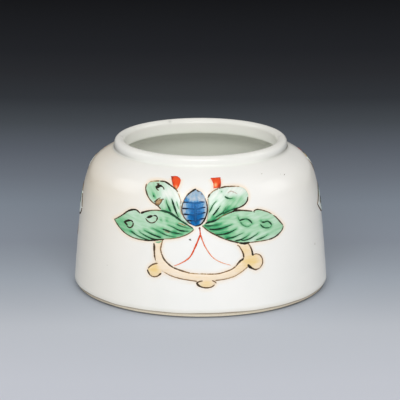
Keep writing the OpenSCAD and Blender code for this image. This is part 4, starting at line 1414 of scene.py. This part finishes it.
# Iron specks that burnt through the glaze.
SPECK_LINES = (
    (((-3.9, 26.6), (-3.5, 26.55), (-3.1, 26.3)), (0.4, 0.75, 0.4), (0.4, 0.6, 0.4)),
    (((28, 44.05), (28.15, 43.8)), (0.35, 0.5, 0.3), (0.3, 0.45, 0.3)),
    (((26.6, 44.4), (26.75, 44.3)), (0.2, 0.25, 0.2), (0.05, 0.1, 0.05)),
    (((20, 45.5), (20.6, 45.4)), (0.25, 0.3, 0.2), (0, 0.05, 0)),
    (((38.9, 18.5), (39, 17.6)), (0.2, 0.3, 0.2), (0.05, 0.1, 0.05)),
    (((-31.5, 14.2), (-31.3, 14)), (0.2, 0.25, 0.2), (0.1, 0.15, 0.1)),
)


def strokes_of(lines: Sequence[tuple], pigment: Pigment = Pigment.OUTLINE) -> list[Stroke]:
    """Make the strokes of a table of lines."""
    return [Stroke(*line, pigment) for line in lines]


STROKES = (strokes_of(VEIN_LINES, Pigment.VEIN) + strokes_of(STRIPE_LINES, Pigment.STRIPE)
           + strokes_of(OUTLINE_LINES))

# Section of a brush line, over its top from the left edge to the right one, and back underneath.
RIDGE_ACROSS = np.array([-1, -0.6, 0, 0.6, 1, 0.6, -0.6])
RIDGE_HEIGHT = np.array([0, 0.75, 1, 0.75, 0, 0, 0])
RIDGE_TOP = 5


@dataclass
class Painting:
    """One butterfly's drawing, worked out once and then wrapped on the pot three times.

    The halo is looked for within the reach of a butterfly at the front. The hand's shake is a sum
    of waves along a stroke (size, pace, phase). The streaks in the enamel shift by a millimetre for
    each streak_turn degrees that a butterfly is turned, so that no two are alike.
    """

    enamel_t: float = 0.22
    edge_t: float = 0.05
    shoulder: float = 0.35
    sunk: float = 0.08
    line_t: float = 0.07
    line_over: float = 0.0005
    line_bed: float = 0.01
    line_step: float = 0.28
    line_shake: Waves = ((0.1, 2.3, 1), (0.07, 5.9, 2))
    shake_spread: int = 3
    end_share: float = 0.8
    end_least: float = 0.04
    mesh_step: float = 0.42
    row_share: float = 0.866
    edge_gap: float = 0.5
    weld: float = 1e-5
    rim_samples: int = 5
    vein_step: float = 0.15
    vein_w: float = 0.6
    vein_pool: float = 0.26
    faded_wash: float = -0.25
    streak_turn: float = 10.0
    halo_w: float = 0.7
    reach_x: float = 32.0
    reach_y: float = -20.0
    reach_r: float = 35.0
    reach_z: Pair = (8.0, 48.0)

    def __post_init__(self) -> None:
        """Cut the drawing into fields on one shared net of triangles."""
        self.shapes = [[along(o, True, self.mesh_step) for o in f.outlines] for f in FIELDS]
        self.make_net()
        self.make_rim()
        veins = [along(s.points, False, self.vein_step) for s in STROKES if s.pigment is Pigment.VEIN]
        self.vein_tree = tree_of(np.concatenate(veins))

    def owner(self, points: np.ndarray) -> np.ndarray:
        """Find the field that shows at each point.

        Args:
            points: n by 2 points.

        Returns:
            n numbers of fields, or -1 on the bare glaze.
        """
        found = np.full(len(points), -1)
        for number, shapes in reversed(list(enumerate(self.shapes))):
            for shape in shapes:
                found[inside(shape, points)] = number
        return found

    def make_net(self) -> None:
        """Triangulate all outlines with a net of points between them."""
        loops = [shape for shapes in self.shapes for shape in shapes]
        edge_points = np.concatenate(loops)
        edges: list[tuple[int, int]] = []
        start = 0
        for loop in loops:
            n = len(loop)
            edges += [(start + i, start + (i + 1) % n) for i in range(n)]
            start += n
        low, high = edge_points.min(0), edge_points.max(0)
        rows: list[np.ndarray] = []
        for i, y in enumerate(np.arange(low[1], high[1], self.mesh_step * self.row_share)):
            x = np.arange(low[0] + (i % 2) * self.mesh_step / 2, high[0], self.mesh_step)
            rows.append(np.stack([x, np.full(len(x), y)], 1))
        grid = np.concatenate(rows)
        grid = grid[self.owner(grid) >= 0]
        grid = grid[nearest(tree_of(edge_points), grid) > self.mesh_step * self.edge_gap]
        flat = [Vector(p) for p in np.concatenate([edge_points, grid]).tolist()]
        verts, _, faces, *_ = delaunay_2d_cdt(flat, edges, [], 0, self.weld)
        self.net = np.array([tuple(v) for v in verts])
        self.faces = np.array([tuple(f) for f in faces])
        self.face_owner = self.owner(self.net[self.faces].mean(1))

    def make_rim(self) -> None:
        """Gather points along the edges where a field ends, for the depth inside it."""
        sides: dict[tuple[int, int], list[int]] = {}
        for face, who in zip(self.faces, self.face_owner):
            for a, b in zip(face, np.roll(face, -1)):
                sides.setdefault((min(a, b), max(a, b)), []).append(who)
        rim = [key for key, who in sides.items() if len(set(who)) > 1 or (len(who) == 1 and who[0] >= 0)]
        ends = self.net[np.array(rim)]
        steps = np.linspace(0, 1, self.rim_samples)[None, :, None]
        self.rim_tree = tree_of((ends[:, :1] * (1 - steps) + ends[:, 1:] * steps).reshape(-1, 2))

    def depth(self, points: np.ndarray) -> np.ndarray:
        """Distance of points from the nearest edge of a field."""
        return nearest(self.rim_tree, points)

    def thickness(self, depth: np.ndarray) -> np.ndarray:
        """Thickness of the enamel at these distances from its edge."""
        return self.edge_t + (self.enamel_t - self.edge_t) * (1 - np.exp(-depth / self.shoulder))

    def coat(self, points: np.ndarray) -> np.ndarray:
        """Thickness of the enamel at points; it is 0 on the bare glaze."""
        return np.where(self.owner(points) >= 0, self.thickness(self.depth(points)), 0.0)

    def halo(self, points: np.ndarray) -> np.ndarray:
        """Find the cream halo round the paintings.

        Args:
            points: n by 3 points of the glaze.

        Returns:
            n strengths.
        """
        total = np.zeros(len(points))
        z = points[:, 2]
        for butterfly in BUTTERFLIES:
            a = math.radians(butterfly.turn)
            across = points[:, 0] * math.cos(a) + points[:, 1] * math.sin(a)
            deep = -points[:, 0] * math.sin(a) + points[:, 1] * math.cos(a)
            near = (deep < self.reach_y) & (np.abs(across) < self.reach_x)
            near &= (np.hypot(across, deep) > self.reach_r) & (z > self.reach_z[0]) & (z < self.reach_z[1])
            flat = np.stack([across[near], z[near]], 1)
            glow = butterfly.glow * bell(self.depth(flat), self.halo_w)
            total[near] = np.maximum(total[near], glow)
        return total

    def washed(self, this: Field, butterfly: Butterfly, flat: np.ndarray, depth: np.ndarray) -> np.ndarray:
        """Find how much enamel one butterfly's field has.

        Args:
            this: the field.
            butterfly: the butterfly that it belongs to.
            flat: n by 2 points of the field.
            depth: their distances from its edge.

        Returns:
            n amounts.
        """
        wash = this.wash(flat, depth)
        if this.slot is Slot.GREEN:
            wash = wash + self.vein_pool * bell(nearest(self.vein_tree, flat), self.vein_w)
        for name, x, y, radius in butterfly.faded:
            if name == this.name:
                fade = bell(np.hypot(flat[:, 0] - x, flat[:, 1] - y), radius)
                wash = wash * (1 - fade) + self.faded_wash * fade
        return wash

    def build_field(self, number: int, butterfly: Butterfly, pot: Pot, enamel: Material) -> Piece:
        """Build one field of one butterfly as a closed raised patch and dress it.

        Args:
            number: the field's number.
            butterfly: the butterfly that it belongs to.
            pot: the pot that carries it.
            enamel: its enamel.

        Returns:
            The piece.
        """
        this = FIELDS[number]
        used, faces = np.unique(self.faces[self.face_owner == number], return_inverse=True)
        faces = faces.reshape(-1, 3)
        flat = self.net[used]
        n = len(flat)
        depth = self.depth(flat)
        edges: dict[tuple[int, int], tuple[int, int]] = {}
        for face in faces:
            for a, b in zip(face, np.roll(face, -1)):
                key = (min(a, b), max(a, b))
                if key in edges:
                    del edges[key]
                else:
                    edges[key] = (a, b)
        skirt = [(b, a, a + n, b + n) for a, b in edges.values()]
        wash = self.washed(this, butterfly, flat, depth)
        if this is ANTENNAE:
            on_left = flat[:, :1] < 0
            root = np.where(on_left, [LEFT_CLUB_ROOT], [RIGHT_CLUB_ROOT])
            flat = root + np.where(on_left, *butterfly.clubs) * (flat - root)
        top = pot.wrap(flat, self.thickness(depth), butterfly.turn)
        bottom = pot.wrap(flat, np.full(n, -self.sunk), butterfly.turn)
        a = math.radians(this.way)
        brush = np.stack([flat @ np.array([math.cos(a), math.sin(a)]),
                          flat @ np.array([-math.sin(a), math.cos(a)]),
                          np.full(n, butterfly.turn / self.streak_turn)], 1)
        values = {"wash": np.tile(wash, 2), "brush": np.tile(brush, (2, 1))}
        node = f"{butterfly.side}_{this.name}"
        all_faces = faces.tolist() + (faces[:, ::-1] + n).tolist() + skirt
        piece = mesh_piece(f"{node}_enamel", np.concatenate([top, bottom]), all_faces, [enamel],
                           values=values)
        return place_piece(piece, this.slot, node)

    def brush_width(self, stroke: Stroke, run: np.ndarray) -> np.ndarray:
        """Find how wide a stroke is, with the hand's shake and rounded ends.

        Args:
            stroke: the stroke.
            run: distances along it, from its start to its end.

        Returns:
            One width for each.
        """
        width = np.interp(run / run[-1], np.linspace(0, 1, len(stroke.width)), stroke.width)
        own = stroke.points[0][0] * self.shake_spread + stroke.points[-1][1]
        shake = sum(size * np.sin(pace * run + phase * own) for size, pace, phase in self.line_shake)
        width = width * (1 + shake)
        end = unit(np.minimum(run, run[-1] - run) / (width * self.end_share))
        return width * np.sqrt(np.maximum(1 - (1 - end) ** 2, self.end_least))

    def ribbon(
        self, stroke: Stroke, lift: float
    ) -> tuple[np.ndarray, np.ndarray, list[list[int]], np.ndarray]:
        """Shape one stroke as a low closed ridge on the flat drawing.

        Args:
            stroke: the stroke.
            lift: height of the ridge above what it is drawn on.

        Returns:
            Flat points, their heights, faces, and the brush load at each point.
        """
        line = along(stroke.points, False, self.line_step)
        run = np.concatenate([[0], np.cumsum(np.linalg.norm(np.diff(line, axis=0), axis=1))])
        width = self.brush_width(stroke, run)
        ink = np.interp(run / run[-1], np.linspace(0, 1, len(stroke.ink)), stroke.ink)
        ahead = np.gradient(line, axis=0)
        ahead /= np.linalg.norm(ahead, axis=1)[:, None]
        right = np.stack([ahead[:, 1], -ahead[:, 0]], 1)
        aside = width[:, None] / 2 * RIDGE_ACROSS
        flat = (line[:, None, :] + right[:, None, :] * aside[:, :, None]).reshape(-1, 2)
        base = self.coat(flat)
        n, count = len(RIDGE_ACROSS), len(line)
        under = np.tile(np.arange(n) >= RIDGE_TOP, count)
        dome = lift * np.tile(RIDGE_HEIGHT, count) - self.line_bed
        height = base + np.where(under, -self.sunk, dome)
        faces = [[a + k, a + (k + 1) % n, a + n + (k + 1) % n, a + n + k]
                 for a in range(0, n * (count - 1), n) for k in range(n)]
        faces += [list(range(n))[::-1], list(range(n * (count - 1), n * count))]
        return flat, height, faces, np.repeat(ink, n)

    def build_lines(
        self,
        name: str,
        nodes: Sequence[str],
        slot: Slot,
        strokes: Sequence[Stroke],
        turn: float,
        pot: Pot,
        inks: Sequence[Material],
    ) -> Piece:
        """Build strokes as one piece and dress them; each lies a hair above the one before it.

        Args:
            name: the piece's name.
            nodes: the CAD nodes that it replaces.
            slot: its material slot.
            strokes: the strokes.
            turn: their turn round the pot in degrees.
            pot: the pot that carries them.
            inks: materials, in the order of the pigments.

        Returns:
            The piece.
        """
        points: list[np.ndarray] = []
        faces: list[list[int]] = []
        indices: list[int] = []
        load: list[np.ndarray] = []
        count = 0
        for number, stroke in enumerate(strokes):
            flat, height, ridge, ink = self.ribbon(stroke, self.line_t + self.line_over * number)
            points.append(pot.wrap(flat, height, turn))
            faces += [[i + count for i in face] for face in ridge]
            indices += [stroke.pigment.value] * len(ridge)
            load.append(ink)
            count += len(flat)
        values = {"ink": np.concatenate(load)}
        piece = mesh_piece(name, np.concatenate(points), faces, inks, indices, values)
        return place_piece(piece, slot, *nodes)

    def build(self, pot: Pot, enamels: dict[Slot, Material], inks: Sequence[Material], tendril: Material,
              iron: Material) -> None:
        """Build the three butterflies and the specks in the glaze.

        Args:
            pot: the pot that carries them.
            enamels: the enamel of each slot.
            inks: materials of the dark lines, in the order of the pigments.
            tendril: the red line's material.
            iron: the specks' material.
        """
        tendrils = strokes_of(TENDRIL_LINES)
        for butterfly in BUTTERFLIES:
            side, turn = butterfly.side, butterfly.turn
            for number, this in enumerate(FIELDS):
                self.build_field(number, butterfly, pot, enamels[this.slot])
            self.build_lines(f"{side}_brush_lines", [f"{side}_lines"], Slot.LINES, STROKES, turn, pot, inks)
            self.build_lines(f"{side}_tendril_lines", [f"{side}_tendrils"], Slot.RED, tendrils, turn, pot,
                             [tendril])
        self.build_lines("kiln_specks", [], Slot.GLAZE, strokes_of(SPECK_LINES), 0.0, pot, [iron])


@dataclass(frozen=True)
class SoftBox:
    """One soft lamp: its middle, its width and depth in millimetres, and its power in watts."""

    name: str
    place: Place
    size: Pair
    power: float

    def hang(self, target: Place) -> None:
        """Hang the lamp so that it faces a point.

        Args:
            target: the point in millimetres.
        """
        data = bpy.data.lights.new(self.name, "AREA")
        data.shape = "RECTANGLE"
        data.size, data.size_y = self.size[0] * MM, self.size[1] * MM
        data.energy = self.power
        light = bpy.data.objects.new(self.name, data)
        light.location = Vector(self.place) * MM
        light.rotation_euler = (Vector(target) - Vector(self.place)).to_track_quat("-Z", "Y").to_euler()
        bpy.context.scene.collection.objects.link(light)


@dataclass
class Studio:
    """Paper floor, soft lamps, the room's own light and the camera at the photograph's angle.

    The camera stands at its distance and elevation from a point on the pot's axis and turns to its aim.
    """

    paper: SweepPaper = SweepPaper()
    floor_half: float = 4000.0
    lamps: tuple[SoftBox, ...] = (
        SoftBox("key_softbox", (0, -1130, 560), (1000, 650), 7.6),
        SoftBox("front_fill", (0, -1800, 420), (2200, 900), 2.8),
        SoftBox("left_fill", (-1040, -60, 600), (600, 600), 1.85),
        SoftBox("right_fill", (1040, -60, 600), (600, 600), 1.85))
    lamp_aim: Place = (0.0, 0.0, 25.0)
    room_colour: str = "FFFDFA"
    room_light: float = 0.45
    aim: Place = (-0.24, 0.0, 28.8)
    look_z: float = 26.0
    distance: float = 745.0
    elevation: float = 15.33
    lens: float = 193.2
    sensor: float = 36.0
    clip_m: Pair = (0.01, 20.0)

    def build_floor(self) -> None:
        """Lay the paper floor."""
        size = self.floor_half
        corners = np.array([[-size, -size, 0], [size, -size, 0], [size, size, 0], [-size, size, 0]])
        floor = mesh_piece("paper_floor", corners, [(0, 1, 2, 3)], [self.paper.material()])

    def build_light(self) -> None:
        """Hang the lamps and set the room's own light."""
        for lamp in self.lamps:
            lamp.hang(self.lamp_aim)
        world = bpy.data.worlds.new("studio_room")
        world.use_nodes = True
        tree = world.node_tree
        tree.nodes.clear()
        shade = add(tree, "ShaderNodeBackground", inputs={
            "Color": linear(self.room_colour), "Strength": self.room_light})
        add(tree, "ShaderNodeOutputWorld", inputs={"Surface": shade.outputs["Background"]})
        bpy.context.scene.world = world

    def build_camera(self) -> None:
        """Set up the camera."""
        data = bpy.data.cameras.new("camera")
        data.lens = self.lens
        data.sensor_width = self.sensor
        data.clip_start, data.clip_end = self.clip_m
        camera = bpy.data.objects.new("camera", data)
        e = math.radians(self.elevation)
        place = Vector((0, -self.distance * math.cos(e), self.look_z + self.distance * math.sin(e)))
        camera.location = place * MM
        camera.rotation_euler = (Vector(self.aim) - place).to_track_quat("-Z", "Y").to_euler()
        bpy.context.scene.collection.objects.link(camera)
        bpy.context.scene.camera = camera

    def build(self) -> None:
        """Set up the whole studio."""
        self.build_camera()
        self.build_floor()
        self.build_light()
        bpy.context.scene.view_settings.view_transform = "Standard"


ENAMELS = {
    Slot.GREEN: WashedEnamel("green_enamel_brushed", (
        (0.0, "F0F4EC"), (0.25, "D2E7D6"), (0.5, "B0D7B6"), (0.7, "84C493"), (0.86, "52AE76"),
        (1.0, "288C54"))),
    Slot.BLUE: WashedEnamel("blue_enamel_brushed", (
        (0.0, "E8EAE8"), (0.2, "B4C0CA"), (0.35, "93B2CA"), (0.5, "5593C2"), (0.65, "1E78BA"),
        (0.8, "0861A2"), (1.0, "0A447C")), streak_mm=0.8, streak_by=0.16, stretch=0.6, shine=0.12),
    Slot.RED: WashedEnamel("iron_red_enamel_brushed", (
        (0.0, "F8DDA8"), (0.35, "F59560"), (0.6, "F5602F"), (0.85, "E94A1C"), (1.0, "B23515")),
        streak_by=0.1),
    Slot.YELLOW: WashedEnamel("pale_yellow_enamel_brushed", (
        (0.0, "FBF0E2"), (0.4, "F7E3C6"), (0.7, "F2D596"), (1.0, "E6BC6A")), streak_by=0.12),
}

# In the order of the pigments.
INKS = (
    BrushLine("brown_black_line_pigment", (
        (0.0, "CFCBC2"), (0.12, "C4A67C"), (0.32, "94724A"), (0.6, "5A4630"), (0.85, "3A3022"),
        (1.0, "221C14"))),
    BrushLine("green_black_line_pigment", (
        (0.0, "8FC29A"), (0.4, "4A8A5E"), (0.7, "2A5A3E"), (1.0, "182C1F"))),
    BrushLine("blue_black_line_pigment", (
        (0.0, "2E78B2"), (0.5, "1C548A"), (1.0, "0A1626"))),
)

TENDRIL_RED = BrushLine("iron_red_line_pigment", (
    (0.0, "F6DDCB"), (0.3, "F0B494"), (0.6, "E86E3E"), (0.8, "DA461C"), (1.0, "6E1A12")))

IRON_SPECK = BrushLine("iron_speck_in_glaze", (
    (0.0, "D8D6CE"), (0.3, "9A9488"), (0.6, "5E5140"), (1.0, "2E251B")))


def main() -> None:
    """Build the studio, the pot and its painting in order."""
    logging.basicConfig(level=logging.INFO, format="%(message)s")
    Studio().build()
    pot = Pot()
    painting = Painting()
    glaze = ClearGlaze().material()
    pot.build_body(BarePaste().material())
    pot.build_glaze(glaze, painting)
    pot.build_base(glaze)
    enamels = {slot: enamel.material() for slot, enamel in ENAMELS.items()}
    inks = [ink.material() for ink in INKS]
    painting.build(pot, enamels, inks, TENDRIL_RED.material(), IRON_SPECK.material())


if __name__ == "__main__":
    main()
